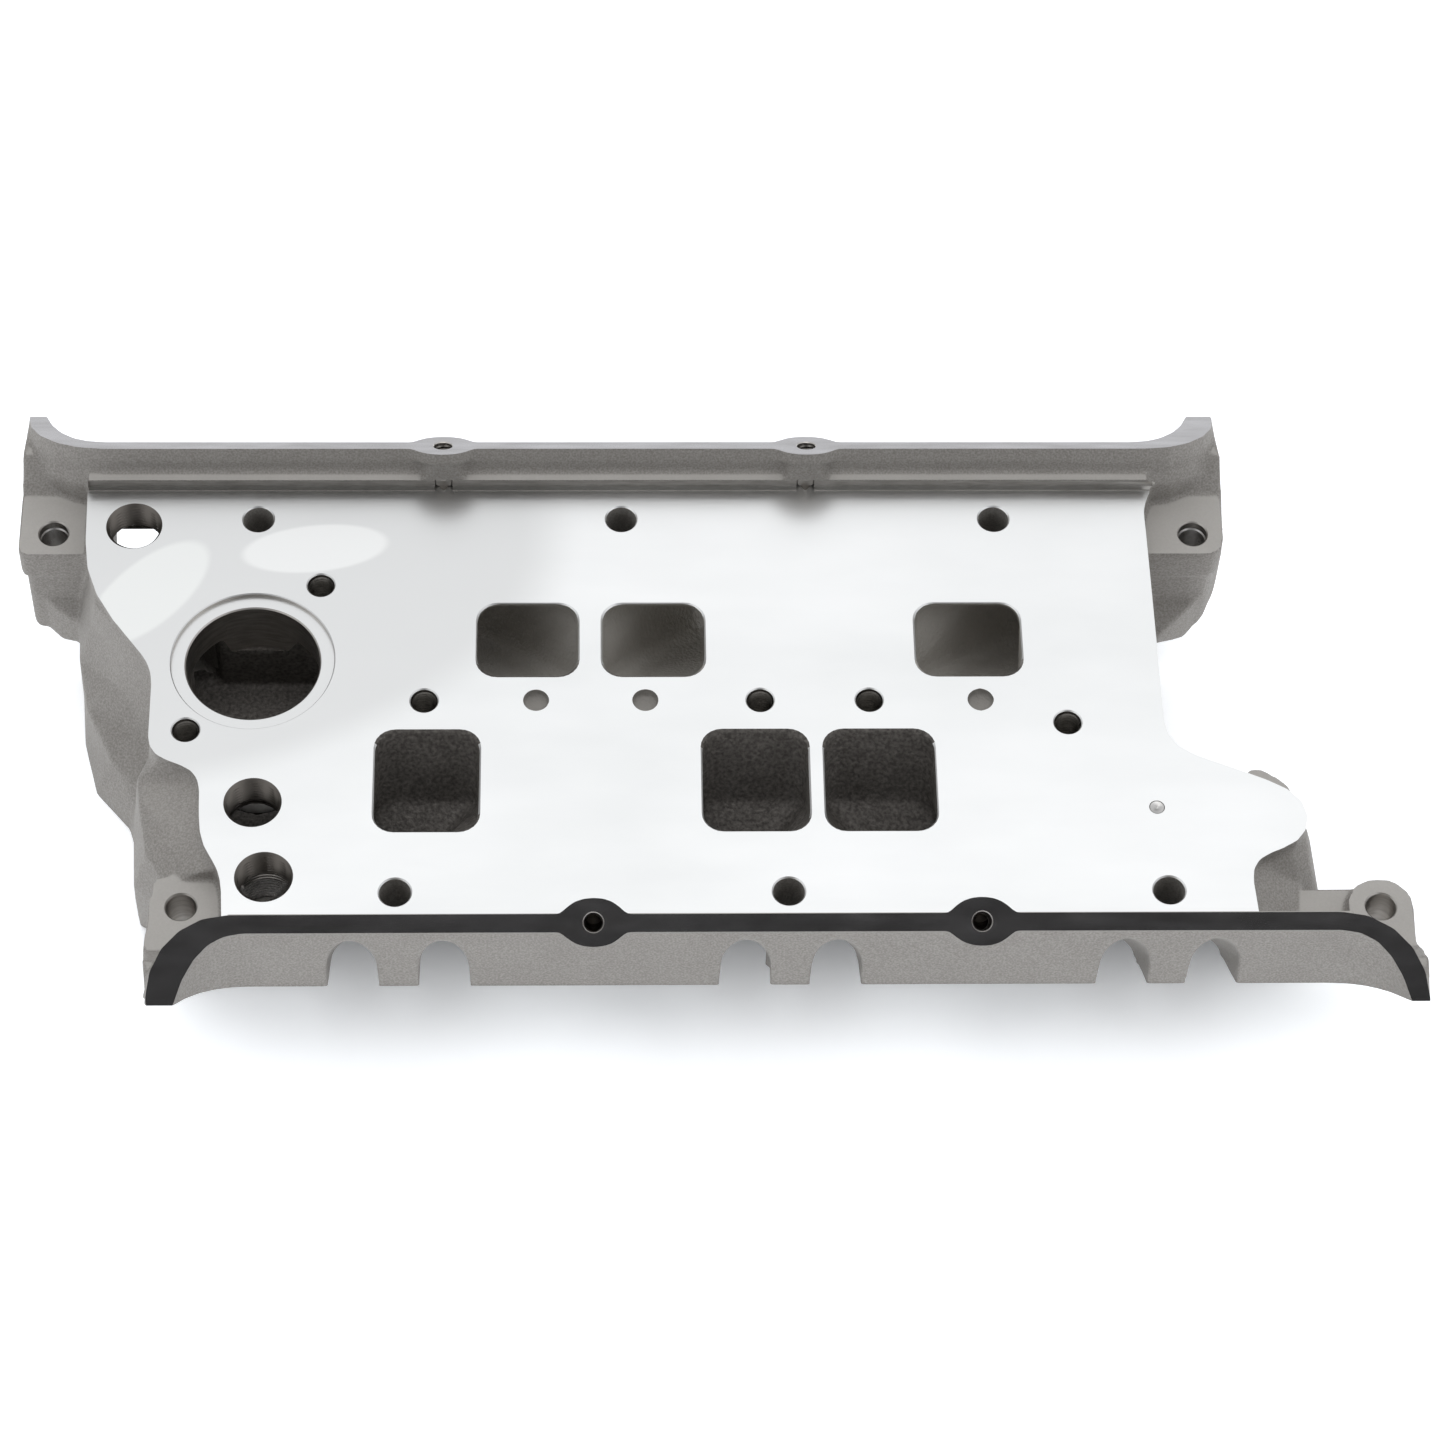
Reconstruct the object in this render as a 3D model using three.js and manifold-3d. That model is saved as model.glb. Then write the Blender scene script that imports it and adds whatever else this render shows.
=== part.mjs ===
// Lower intake manifold of a 60 degree V6: one aluminium casting with a machined deck, six runners,
// two rocker-cover rails, a thermostat well and coolant ports, and the steel hardware fitted to it.
// Millimetres, +Z up. X runs along the engine, and both banks are alike when turned half way round Z.
// Heights in the code count from the machined deck; the last group stands the part on its feet.
import * as THREE from "three";
import { mergeVertices } from "three/addons/utils/BufferGeometryUtils.js";
import Module from "manifold-3d";

const wasm = await Module();
wasm.setup();

// Driving dimensions
const DECK_HEIGHT = 60; // from the feet to the deck
const DECK_THICKNESS = 11;
const DECK_EDGE_Y = 77.2; // the deck runs between the two rails
const FOOT = -DECK_HEIGHT;

const RAIL_INNER_Y = 82.6; // inner edge of the machined strip
const RAIL_TOP = 14.1;
const RAIL_TILT = THREE.MathUtils.degToRad(30);
const RAIL_WIDTH = 5;
const RAIL_REACH = 25.5; // from the inner edge to the tips, along the tilted face
const RAIL_ENDS = { long: 205.6, short: 159 };
const RAIL_ARC = { long: 25, short: 23 };
const TIP_WIDTH = { long: 5.1, short: 7.6 };
const RAIL_OUTER_CURVE = 20; // where the outer edge starts to bend, before the tip's inner corner
const RAIL_OUTER_BEND = 5.5;
const RAIL_ARC_STEPS = 5;
const TIP_DRAFT = 0.65; // how much of the wall's draft is lost at the tips
// Depth under the tilted strip and inset of the wall's inner side there.
const RAIL_WALL_LEVELS = [[0, 0], [4, 2], [9, 2.8], [13, 5.3], [70, 6.5]];

const FLANGE_SLOPE = THREE.MathUtils.degToRad(48); // head faces, from the horizontal
const FLANGE_THICKNESS = 11;
const FLANGE_BOTTOM = -51;
const WALL = 4.5; // round the runners

const BOLT_Y = 66.5;
const BOLT_X = [-134, -23.9, 89.6]; // rear bank
const BOLT_HOLE = 4.6;
const BOLT_COLUMN = 8.5;
const PUSHROD_X = [-146.5, -120.5, -37.5, -11.2, 75.4, 101.8]; // rear bank
const PUSHROD_SLOT = 7; // half the slot's width
const PUSHROD_TOP = 7;
const PUSHROD_DRAFT = 0.0048; // share of the width gained per millimetre of depth
const PUSHROD_LEAD = 40; // how far outside the wall the channel's cut starts
const PUSHROD_PITCH = THREE.MathUtils.degToRad(58);

const REAR_PORTS = { y: 21.8, length: 26.2, list: [[-52, 30.1], [-14.5, 30.6], [79.8, 31.8]] };
const FRONT_PORTS = { y: 28.2, length: 35, list: [[-51.7, 32.6], [-15.2, 31.3], [81.2, 30.7]] };
const HEAD_PORT_X = [-92.1, 19.7, 131.4];
const HEAD_PORT = { y: 72, width: 26, height: 27 };
const PORT_CORNER = 6;
const RUNNER_STEPS = 4;
const RUNNER_PULL = 22; // how far a runner keeps straight at each end
const RUNNER_STRAIGHT = 0.2; // share of the way before a runner turns along the engine
const RUNNER_OVERRUN = 4;

const EAR_TOP = -8;
const EAR_BAND = -20; // the bottom of the proud band
const EAR_STEP = 1.2;
const EAR_HOLE = 4.4;
const EAR_RADIUS = 9.8;
const SLEEVE_DEPTH = 3;
const SLEEVE_HOLE = 5.3;
const SLEEVE_LENGTH = 14;
const EARS = {
  rearLeft: [-196.8, 67],
  rearRight: [151.5, 66.6],
  frontLeft: [-151.6, -66.4],
  frontRight: [196.5, -67.4],
};

const THERMOSTAT = { x: -133.7, y: 14.5, bore: 19.95, recess: 24.25, recessDepth: 1.5 };
const M8_HOLE = 4.3;
const M8_CORE = 3.4;
const M6_HOLE = 3.1;
const M6_CORE = 2.5;
const INSERT_GAP = 0.05;
const INSERT_RECESS = 0.6; // below the mouth of the hole
const M8_INSERT = 12;
const M8_DRILL = 18;
const M8_BOSS = 7.5;
const M6_INSERT = 7;
const COVER_STUDS = [[-114.3, 41.9], [-152.4, -10.2]]; // thermostat housing screws
const BRACKET_HOLE = [108, -8.1];
const PLENUM_X = [-82.5, 17, 49.4];
const CAST_RECESS_X = [-49.4, -17, 82.5]; // blind marks in the same row, as cast
const CAST_RECESS = { radius: 4.05, depth: 3 };
const RAIL_SCREW_X = [-78, 32.5]; // rear bank
const RAIL_SCREW_S = 2.4;
const RAIL_PAD = 6.4;
const RAIL_PAD_PLAN = [
  [-9.8, 0.2],
  [-4.6, -4.6, 5],
  [4.6, -4.6, 5],
  [9.8, 0.2],
  [9.8, 4.8],
  [4.6, 9.4, 5],
  [-4.6, 9.4, 5],
  [-9.8, 4.8],
];
const RAIL_PAD_DEPTH = 4;
const RAIL_PAD_RISE = 4.6; // how far up the tilted face the pads reach past the strip
const RAIL_BOSS_LENGTH = 24;
const RAIL_DRILL = 13.5; // the drill comes out of the wall just over the deck
const RAIL_WAY_OUT = 5.5;
const PIPE_PORT = 8.1;
const THROUGH_PORT = [-171.5, 64];
const HEATER_PORT = [-131.7, -35.7];
const VACUUM_PORT = [-127.5, -61.2];
const VACUUM_DEPTH = -24;
const PIN_GAP = 0.3;
const DECK_PIN = { x: 132.4, y: -38.1, r: 2.25, length: 9 };

const CORE_PLUGS = [
  ["core_plug_thermostat_well", -133.7, -1, 13],
  ["core_plug_heater_passage", -134, -31, 8],
];
const CORE_PLUG_HEIGHT = 6;
const CORE_PLUG_SHEET = 1.2;
const DUCT = { floor: -46, plate: 6, roof: -14 };
const SHIELD = { z: -54, sheet: 1.2, hole: 2.3 };
const SHIELD_POSTS = [[-92, 24], [-92, 2], [104, 22], [104, -22]];
const SHIELD_POST_RADIUS = 6;
const SHIELD_LIP = 5;
const SHIELD_PLAN = [[-102, 33, 8], [-102, -8, 8], [-70, -35, 14], [114, -35, 8], [114, 35, 8],
  [0, 38, 14]];
const RIVET_DEPTH = 14;
const RIVET = { shank: 2.25, head: 4.5, dome: 2.2 };
const GAP = 0.3; // between touching pieces

const END_X = 207.5; // both ends of the head flanges
const ROUND = 20; // sides of a large circle
const SMALL_ROUND = 12;
const CURVE_STEPS = 3; // steps of each rounded corner
const FAR = 300;

// Materials
const CAST = new THREE.MeshStandardMaterial({ color: 0xb9b6b1, roughness: 0.5, metalness: 0.9 });
const STAINLESS = new THREE.MeshStandardMaterial({ color: 0x9d9a94, roughness: 0.35, metalness: 1 });
const STEEL = new THREE.MeshStandardMaterial({ color: 0x8b8a88, roughness: 0.4, metalness: 1 });
const PLUG_STEEL = new THREE.MeshStandardMaterial({ color: 0x575553, roughness: 0.6, metalness: 1 });
const ZINC = new THREE.MeshStandardMaterial({ color: 0xa3a5a3, roughness: 0.45, metalness: 0.9 });

// Solids: a closed three.js geometry becomes a manifold, and goes back to a geometry at the end.
function solid(geometry) {
  geometry.deleteAttribute("normal");
  geometry.deleteAttribute("uv");
  const merged = mergeVertices(geometry, 1e-4);
  const vertProperties = merged.attributes.position.array;
  const triVerts = new Uint32Array(merged.index.array);
  return new wasm.Manifold(new wasm.Mesh({ numProp: 3, vertProperties, triVerts }));
}

function geometryOf(manifold) {
  const mesh = manifold.getMesh();
  const geometry = new THREE.BufferGeometry();
  geometry.setAttribute("position", new THREE.BufferAttribute(mesh.vertProperties, 3));
  geometry.setIndex(new THREE.BufferAttribute(mesh.triVerts, 1));
  geometry.computeVertexNormals();
  return geometry;
}

const join = (solids) => solids.reduce((whole, next) => whole.add(next));

// A point on the way from one corner to the next, at most half way.
function setBack([x, y], [toX, toY], distance) {
  const length = Math.hypot(toX - x, toY - y);
  const share = Math.min(distance, length / 2) / length;
  return [x + (toX - x) * share, y + (toY - y) * share];
}

// An outline from its corners [x, y, setback], each rounded by a curve that starts at the setback.
function outline(corners) {
  const shape = new THREE.Shape();
  corners.forEach(([x, y, setback = 0], i) => {
    const start = setBack([x, y], corners.at(i - 1), setback);
    if (i === 0) shape.moveTo(...start);
    else shape.lineTo(...start);
    if (setback > 0) {
      shape.quadraticCurveTo(x, y, ...setBack([x, y], corners[(i + 1) % corners.length], setback));
    }
  });
  shape.closePath();
  return shape;
}

// An upright prism of a plan outline.
function prism(corners, bottom, top) {
  const settings = { depth: top - bottom, bevelEnabled: false, curveSegments: CURVE_STEPS };
  return solid(new THREE.ExtrudeGeometry(outline(corners), settings).translate(0, 0, bottom));
}

// A bar along X of a side-on outline, whose corners are [y, z, setback].
function bar(corners, left, right) {
  const settings = { depth: right - left, bevelEnabled: false, curveSegments: CURVE_STEPS };
  const geometry = new THREE.ExtrudeGeometry(outline(corners), settings);
  const axes = new THREE.Matrix4().set(0, 0, 1, left, 1, 0, 0, 0, 0, 1, 0, 0, 0, 0, 0, 1);
  return solid(geometry.applyMatrix4(axes));
}

function cylinder(x, y, bottom, top, radius, sides = SMALL_ROUND) {
  const geometry = new THREE.CylinderGeometry(radius, radius, top - bottom, sides).rotateX(Math.PI / 2);
  return solid(geometry.translate(x, y, (bottom + top) / 2));
}

// A closed skin over rings of 3D points, from the top ring down, all with matching points.
function loft(rings) {
  const plan = rings[0].map((p) => new THREE.Vector2(p.x, p.y));
  if (THREE.ShapeUtils.isClockWise(plan)) return loft(rings.map((ring) => ring.toReversed()));
  const count = plan.length;
  const last = (rings.length - 1) * count;
  const index = [];
  for (let k = 0; k < last; k += count) {
    for (let i = 0; i < count; i++) {
      const next = (i + 1) % count;
      index.push(k + i, k + count + i, k + next, k + next, k + count + i, k + count + next);
    }
  }
  THREE.ShapeUtils.triangulateShape(plan, []).forEach(([a, b, c]) => {
    index.push(a, b, c, last + a, last + c, last + b);
  });
  const geometry = new THREE.BufferGeometry();
  geometry.setFromPoints(rings.flat());
  geometry.setIndex(index);
  return solid(geometry);
}

// A skin between plan outlines with the same corners at several heights; a corner may rise from its own.
const skirt = (levels) =>
  loft(levels.map(([z, plan]) => plan.map(([x, y, rise = 0]) => new THREE.Vector3(x, y, z + rise))));

// The front bank is the rear bank turned half way round.
function turned(made) {
  const { vertProperties, triVerts } = made.getMesh();
  const geometry = new THREE.BufferGeometry();
  geometry.setAttribute("position", new THREE.BufferAttribute(vertProperties, 3));
  geometry.setIndex(new THREE.BufferAttribute(triVerts, 1));
  return solid(geometry.rotateZ(Math.PI));
}

// Places on the tilted rail face and on the head face, in a side view of the rear bank.
const railY = (s) => RAIL_INNER_Y + s * Math.cos(RAIL_TILT);
const railZ = (s) => RAIL_TOP - s * Math.sin(RAIL_TILT);
const TIP = { y: railY(RAIL_REACH), z: railZ(RAIL_REACH) };
const flangeY = (z) => TIP.y - (TIP.z - z) / Math.tan(FLANGE_SLOPE);
const flangeZ = (y) => TIP.z - (TIP.y - y) * Math.tan(FLANGE_SLOPE);

// The space of the rear bank: under the rail's plane and inside the head face's plane.
function bankSpace() {
  const section = [
    [-FAR, FOOT],
    [flangeY(FOOT), FOOT],
    [TIP.y, TIP.z],
    [railY(-RAIL_PAD_RISE), railZ(-RAIL_PAD_RISE)],
    [-FAR, railZ(-RAIL_PAD_RISE)],
  ];
  return bar(section, -FAR, FAR);
}

// One end of the rail in its own plane: the inner edge's arc and the outer edge's curve, from the
// straight part to the tip, as [x, s] pairs on the +X side.
function railEnd(end, radius, tipWidth) {
  const inner = [];
  for (let i = 0; i <= RAIL_ARC_STEPS; i++) {
    const angle = (i / RAIL_ARC_STEPS) * (Math.PI / 2);
    inner.push([end - radius * (1 - Math.sin(angle)), radius * (1 - Math.cos(angle))]);
  }
  inner.push([end, RAIL_REACH]);
  const tip = end - tipWidth;
  const start = new THREE.Vector2(tip - RAIL_OUTER_CURVE, RAIL_WIDTH);
  const bend = new THREE.Vector2(tip - RAIL_OUTER_BEND, RAIL_WIDTH);
  const curve = new THREE.QuadraticBezierCurve(start, bend, new THREE.Vector2(tip, RAIL_REACH));
  const outer = curve.getPoints(RAIL_ARC_STEPS).map((p) => [p.x, p.y]);
  return { inner, outer };
}

// The rail wall: the strip's outline, sheared down from the tilted face, its inner side drafted.
function railWall() {
  const long = railEnd(RAIL_ENDS.long, RAIL_ARC.long, TIP_WIDTH.long);
  const short = railEnd(RAIL_ENDS.short, RAIL_ARC.short, TIP_WIDTH.short);
  const flip = (points) => points.map(([x, s]) => [-x, s]);
  const inner = [...flip(long.inner).reverse(), ...short.inner];
  const outer = [...short.outer.reverse(), ...flip(long.outer)];
  const inward = ([x, s], i, inset) => {
    const [beforeX, beforeS] = inner[Math.max(i - 1, 0)];
    const [afterX, afterS] = inner[Math.min(i + 1, inner.length - 1)];
    const length = Math.hypot(afterX - beforeX, afterS - beforeS);
    return [x + ((afterS - beforeS) / length) * inset, s - ((afterX - beforeX) / length) * inset];
  };
  const ring = ([depth, inset]) => [
    ...inner.map((point, i) => {
      const [x, s] = inward(point, i, inset * (1 - (TIP_DRAFT * point[1]) / RAIL_REACH));
      return new THREE.Vector3(x, railY(s), railZ(point[1]) - depth);
    }),
    ...outer.map(([x, s]) => new THREE.Vector3(x, railY(s), railZ(s) - depth)),
  ];
  return loft(RAIL_WALL_LEVELS.map(ring));
}

// The slab behind the head face, from the feet of the ears to the rail's tips.
function flangeSlab() {
  const back = FLANGE_THICKNESS / Math.sin(FLANGE_SLOPE);
  const bottom = flangeY(FLANGE_BOTTOM) - FLANGE_THICKNESS * Math.sin(FLANGE_SLOPE);
  const section = [
    [flangeY(FLANGE_BOTTOM), FLANGE_BOTTOM],
    [TIP.y, TIP.z],
    [TIP.y - back, TIP.z],
    [bottom, FLANGE_BOTTOM + FLANGE_THICKNESS * Math.cos(FLANGE_SLOPE)],
  ];
  const wallY = railY(RAIL_WIDTH);
  const plan = [
    [-END_X + 7, TIP.y],
    [-RAIL_ENDS.long, TIP.y],
    [-END_X + 0.5, 90, 5],
    [-END_X, 76, 8],
    [-END_X + 3, 62, 8],
    [-197, 57, 6],
    [-180, bottom, 4],
    [140, bottom, 4],
    [155, 59, 6],
    [163, 68, 8],
    [162, 80, 5],
    [159, TIP.y],
    [151.4, TIP.y],
    [146, wallY, 12],
    [-192, wallY, 12],
  ];
  return bar(section, -FAR, FAR).intersect(prism(plan, FOOT, TIP.z));
}

// A flat-topped bolt ear on the rear bank, its upper band a little proud of its foot.
function squareEar(x, y, left, right, corner) {
  const plan = (inset) => [
    [x + left + inset, y - 8 + inset, 3],
    [x + right - inset, y - 8 + inset, corner],
    [x + right - inset, y + 16],
    [x + left + inset, y + 16, 3],
  ];
  return prism(plan(0), EAR_BAND, EAR_TOP).add(prism(plan(EAR_STEP), FLANGE_BOTTOM, EAR_TOP));
}

const roundEar = (x, y) =>
  cylinder(x, y, FLANGE_BOTTOM, EAR_TOP, EAR_RADIUS, ROUND).add(
    prism(
      [[x - 9, y - 16], [x + 9, y - 16], [x + EAR_RADIUS, y], [x - EAR_RADIUS, y]],
      FLANGE_BOTTOM,
      EAR_TOP,
    ),
  );

// The route of one rear-bank runner: from the deck port down, out and along to the head port.
function runnerRings(deckX, deckWidth, ports, headX, grow) {
  const rings = [];
  const out = new THREE.Vector2(Math.sin(FLANGE_SLOPE), -Math.cos(FLANGE_SLOPE));
  const start = new THREE.Vector2(ports.y, 0);
  const end = new THREE.Vector2(HEAD_PORT.y, flangeZ(HEAD_PORT.y));
  const startPull = start.clone().add(new THREE.Vector2(0, -RUNNER_PULL));
  const endPull = end.clone().addScaledVector(out, -RUNNER_PULL);
  const route = new THREE.CubicBezierCurve(start, startPull, endPull, end);
  for (let i = 0; i <= RUNNER_STEPS; i++) {
    const t = i / RUNNER_STEPS;
    const blend = THREE.MathUtils.smoothstep(t, RUNNER_STRAIGHT, 1);
    const at = route.getPoint(t);
    const along = i === 0 ? new THREE.Vector2(0, -1) : i === RUNNER_STEPS ? out : route.getTangent(t);
    const width = THREE.MathUtils.lerp(deckWidth, HEAD_PORT.width, blend) + 2 * grow;
    const length = THREE.MathUtils.lerp(ports.length, HEAD_PORT.height, blend) + 2 * grow;
    const x = THREE.MathUtils.lerp(deckX, headX, blend);
    rings.push(portRing(x, at, along, width, length, PORT_CORNER + grow));
  }
  const shift = (ring, way) => ring.map((p) => new THREE.Vector3(p.x, p.y + way.x, p.z + way.y));
  rings.unshift(shift(rings[0], new THREE.Vector2(0, RUNNER_OVERRUN)));
  rings.push(shift(rings.at(-1), out.clone().multiplyScalar(RUNNER_OVERRUN)));
  return rings;
}

// A rounded rectangle across a direction in the YZ plane.
function portRing(x, at, along, width, length, corner) {
  const ring = [];
  const corners = [[1, 1], [-1, 1], [-1, -1], [1, -1]];
  corners.forEach(([sideX, sideV], quarter) => {
    for (let i = 0; i <= CURVE_STEPS; i++) {
      const angle = (quarter + i / CURVE_STEPS) * (Math.PI / 2);
      const u = sideX * (width / 2 - corner) + corner * Math.cos(angle);
      const v = sideV * (length / 2 - corner) + corner * Math.sin(angle);
      ring.push(new THREE.Vector3(x + u, at.x - v * along.y, at.y + v * along.x));
    }
  });
  return ring;
}

const runner = (bank, i, grow) =>
  loft(runnerRings(bank.list[i][0], bank.list[i][1], bank, HEAD_PORT_X[i], grow));

// A pushrod's U-shaped channel, cut in from outside along its slope.
function pushrodChannel(x) {
  const shape = new THREE.Shape();
  shape.moveTo(-PUSHROD_SLOT, -FAR / 4);
  shape.lineTo(PUSHROD_SLOT, -FAR / 4);
  shape.lineTo(PUSHROD_SLOT, 0);
  shape.absarc(0, 0, PUSHROD_SLOT, 0, Math.PI);
  shape.closePath();
  const settings = { depth: FAR / 2, bevelEnabled: false, curveSegments: 6 };
  const geometry = new THREE.ExtrudeGeometry(shape, settings);
  geometry.translate(0, 0, -PUSHROD_LEAD);
  const points = geometry.attributes.position;
  for (let i = 0; i < points.count; i++) {
    points.setX(i, points.getX(i) * (1 + PUSHROD_DRAFT * points.getZ(i)));
  }
  geometry.rotateX(Math.PI / 2 + PUSHROD_PITCH);
  const centre = PUSHROD_TOP - PUSHROD_SLOT / Math.cos(PUSHROD_PITCH);
  return solid(geometry.translate(x, railY(RAIL_WIDTH), centre));
}

// A round cut or boss square to the rail's face, centred on a screw.
function onRail(x, from, to, radius, sides) {
  const geometry = new THREE.CylinderGeometry(radius, radius, to - from, sides);
  geometry.translate(0, (from + to) / 2, 0).rotateX(Math.PI / 2 - RAIL_TILT);
  return solid(geometry.translate(x, railY(RAIL_SCREW_S), railZ(RAIL_SCREW_S)));
}

function bank(ports) {
  const bodies = [railWall(), flangeSlab()];
  BOLT_X.forEach((x) => bodies.push(cylinder(x, BOLT_Y, FOOT, -1, BOLT_COLUMN)));
  HEAD_PORT_X.forEach((x, i) => bodies.push(runner(ports, i, WALL).intersect(belowDeck())));
  RAIL_SCREW_X.forEach((x) => bodies.push(onRail(x, -RAIL_BOSS_LENGTH, 1, RAIL_PAD, SMALL_ROUND), railPad(x)));
  return join(bodies);
}

// The strip's widening at a screw, in the rail's own plane.
function railPad(x) {
  const settings = { depth: RAIL_PAD_DEPTH + 1, bevelEnabled: false, curveSegments: CURVE_STEPS };
  const geometry = new THREE.ExtrudeGeometry(outline(RAIL_PAD_PLAN), settings);
  geometry.translate(0, 0, -RAIL_PAD_DEPTH).rotateX(-RAIL_TILT);
  return solid(geometry.translate(x, railY(0), railZ(0)));
}

const belowDeck = () => bar([[-FAR, -FAR], [FAR, -FAR], [FAR, -1], [-FAR, -1]], -FAR, FAR);

function bankCuts(ports) {
  const cuts = HEAD_PORT_X.map((x, i) => runner(ports, i, 0));
  BOLT_X.forEach((x) => cuts.push(cylinder(x, BOLT_Y, FOOT - 1, 1, BOLT_HOLE)));
  PUSHROD_X.forEach((x) => cuts.push(pushrodChannel(x)));
  RAIL_SCREW_X.forEach((x) => {
    cuts.push(onRail(x, -M6_INSERT - 2 * INSERT_RECESS, 1, M6_HOLE, SMALL_ROUND));
    cuts.push(onRail(x, -RAIL_DRILL, 1, M6_CORE, SMALL_ROUND));
    cuts.push(cylinder(x, DECK_EDGE_Y, 0, RAIL_WAY_OUT, M6_CORE, SMALL_ROUND));
  });
  return cuts;
}

const DECK_PLAN = [
  [-186.3, DECK_EDGE_Y],
  [-185.6, 42.6, 16],
  [-163.3, 12, 6],
  [-163.3, -18.3, 6],
  [-147.7, -25, 6],
  [-146.8, -48.5, 8],
  [-139.8, -60, 6],
  [-139, -DECK_EDGE_Y],
  [159.6, -DECK_EDGE_Y],
  [158.3, -56.5, 7],
  [176.4, -49, 9],
  [176.4, -33.3, 12],
  [136.8, -16.2, 9],
  [135.9, 71, 3],
  [138.4, DECK_EDGE_Y],
];

// The end walls under the deck, as plans at falling heights. Matching corners make the walls.
// A third number lifts a corner, so the left wall's crease falls along it.
const LEFT_WALL = [
  [-3, [[-184, 60], [-182.5, 38], [-172, 23], [-163.3, 12], [-163, -14], [-160, -20], [-149, -25],
    [-147.3, -46], [-143, -57]]],
  [-10, [[-185, 60], [-183.5, 38], [-173, 22], [-164, 11], [-163.8, -13], [-167, -21], [-166, -29],
    [-163, -47], [-157, -57]]],
  [-28, [[-186.5, 60, 12], [-184.5, 39, 11], [-175, 21, 3], [-166.5, 8, -4], [-166, -10, -11],
    [-169, -21], [-169, -30], [-168, -47], [-160, -56]]],
  [-44, [[-191, 60, 8], [-190, 40, 8], [-187, 23, 6], [-179, 6, 4], [-171, -8], [-169.8, -21],
    [-169.4, -30], [-168.5, -46], [-160, -51]]],
  [FOOT, [[-192.5, 60], [-191, 42], [-189.5, 24], [-185, 6], [-174, -7], [-170.2, -20], [-169.8, -30],
    [-169.2, -41], [-162, -45]]],
];
const RIGHT_WALL = [
  [-3, [[133, 60], [133, -8], [139, -17], [161, -26], [174, -33], [175.8, -42], [171, -50], [161, -56],
    [159, -80]]],
  [-12, [[132, 60], [132, -7], [140, -16], [162, -24], [176, -31], [178.5, -42], [178, -51], [174, -57],
    [172, -80]]],
  [-28, [[130, 60], [130, -6], [141, -14], [164, -21], [179, -28], [182, -42], [182.5, -53], [180, -59],
    [178, -80]]],
  [FOOT, [[128, 60], [128, -4], [142, -12], [166, -18], [181, -25], [184, -42], [184, -53], [182, -60],
    [180, -80]]],
];
const LEFT_INBOARD = [[-108, -57], [-108, 60]];
const RIGHT_INBOARD = [[118, -80], [118, 60]];
const LEFT_HOLLOW = [[-181, 60], [-179, 24], [-173, 7], [-163, -4], [-160, -20], [-159, -60],
  [-100, -60], [-100, 60]];
const RIGHT_HOLLOW = [[118, 70], [118, -6], [134, -20], [160, -27], [171, -32], [173, -50], [170, -70],
  [100, -70], [100, 70]];

const endWall = (levels, inboard) => skirt(levels.map(([z, plan]) => [z, [...plan, ...inboard]]));

// The coolant duct under the thermostat: a cored room with a way to each head.
const DUCT_ROOM = [[-153, 33, 6], [-114, 33, 6], [-114, -4, 6], [-124, -22, 6], [-124, -43, 4],
  [-158, -43, 4], [-154, -12, 8]];

// Plain lumps between the ears, the end walls and the flanges: plan, bottom and top.
const FILLERS = [
  [[[-160, -56, 3], [-138, -55], [-138, -80], [-162, -80]], -32, EAR_TOP],
  [[[168, -58.5], [192, -58.5], [192, -82], [168, -82]], -34, EAR_TOP - 4],
  [[[-162, -36], [-143, -36], [-143, -66], [-162, -66]], FOOT, -38],
  [[[158, -30], [161.5, -19.5, 2], [165, -19, 2], [173.5, -25, 3], [175, -33]], -20, EAR_TOP],
];

function ductCuts() {
  const room = prism(DUCT_ROOM, DUCT.floor + DUCT.plate, DUCT.roof);
  const frontWay = prism([[-158, -38, 3], [-147, -38, 3], [-147, -FAR / 4], [-158, -FAR / 4]], -56, -43);
  const frontDrop = prism([[-158, -42], [-148, -42], [-148, -30], [-158, -30]], -56, -30);
  const rearWay = prism([[-160, 22, 3], [-160, 34, 3], [-180, 50, 4], [-180, 84, 4], [-163, 84, 4],
    [-163, 55, 4], [-145, 32]], -38, -16);
  return [room, frontWay, frontDrop, rearWay];
}

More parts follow.
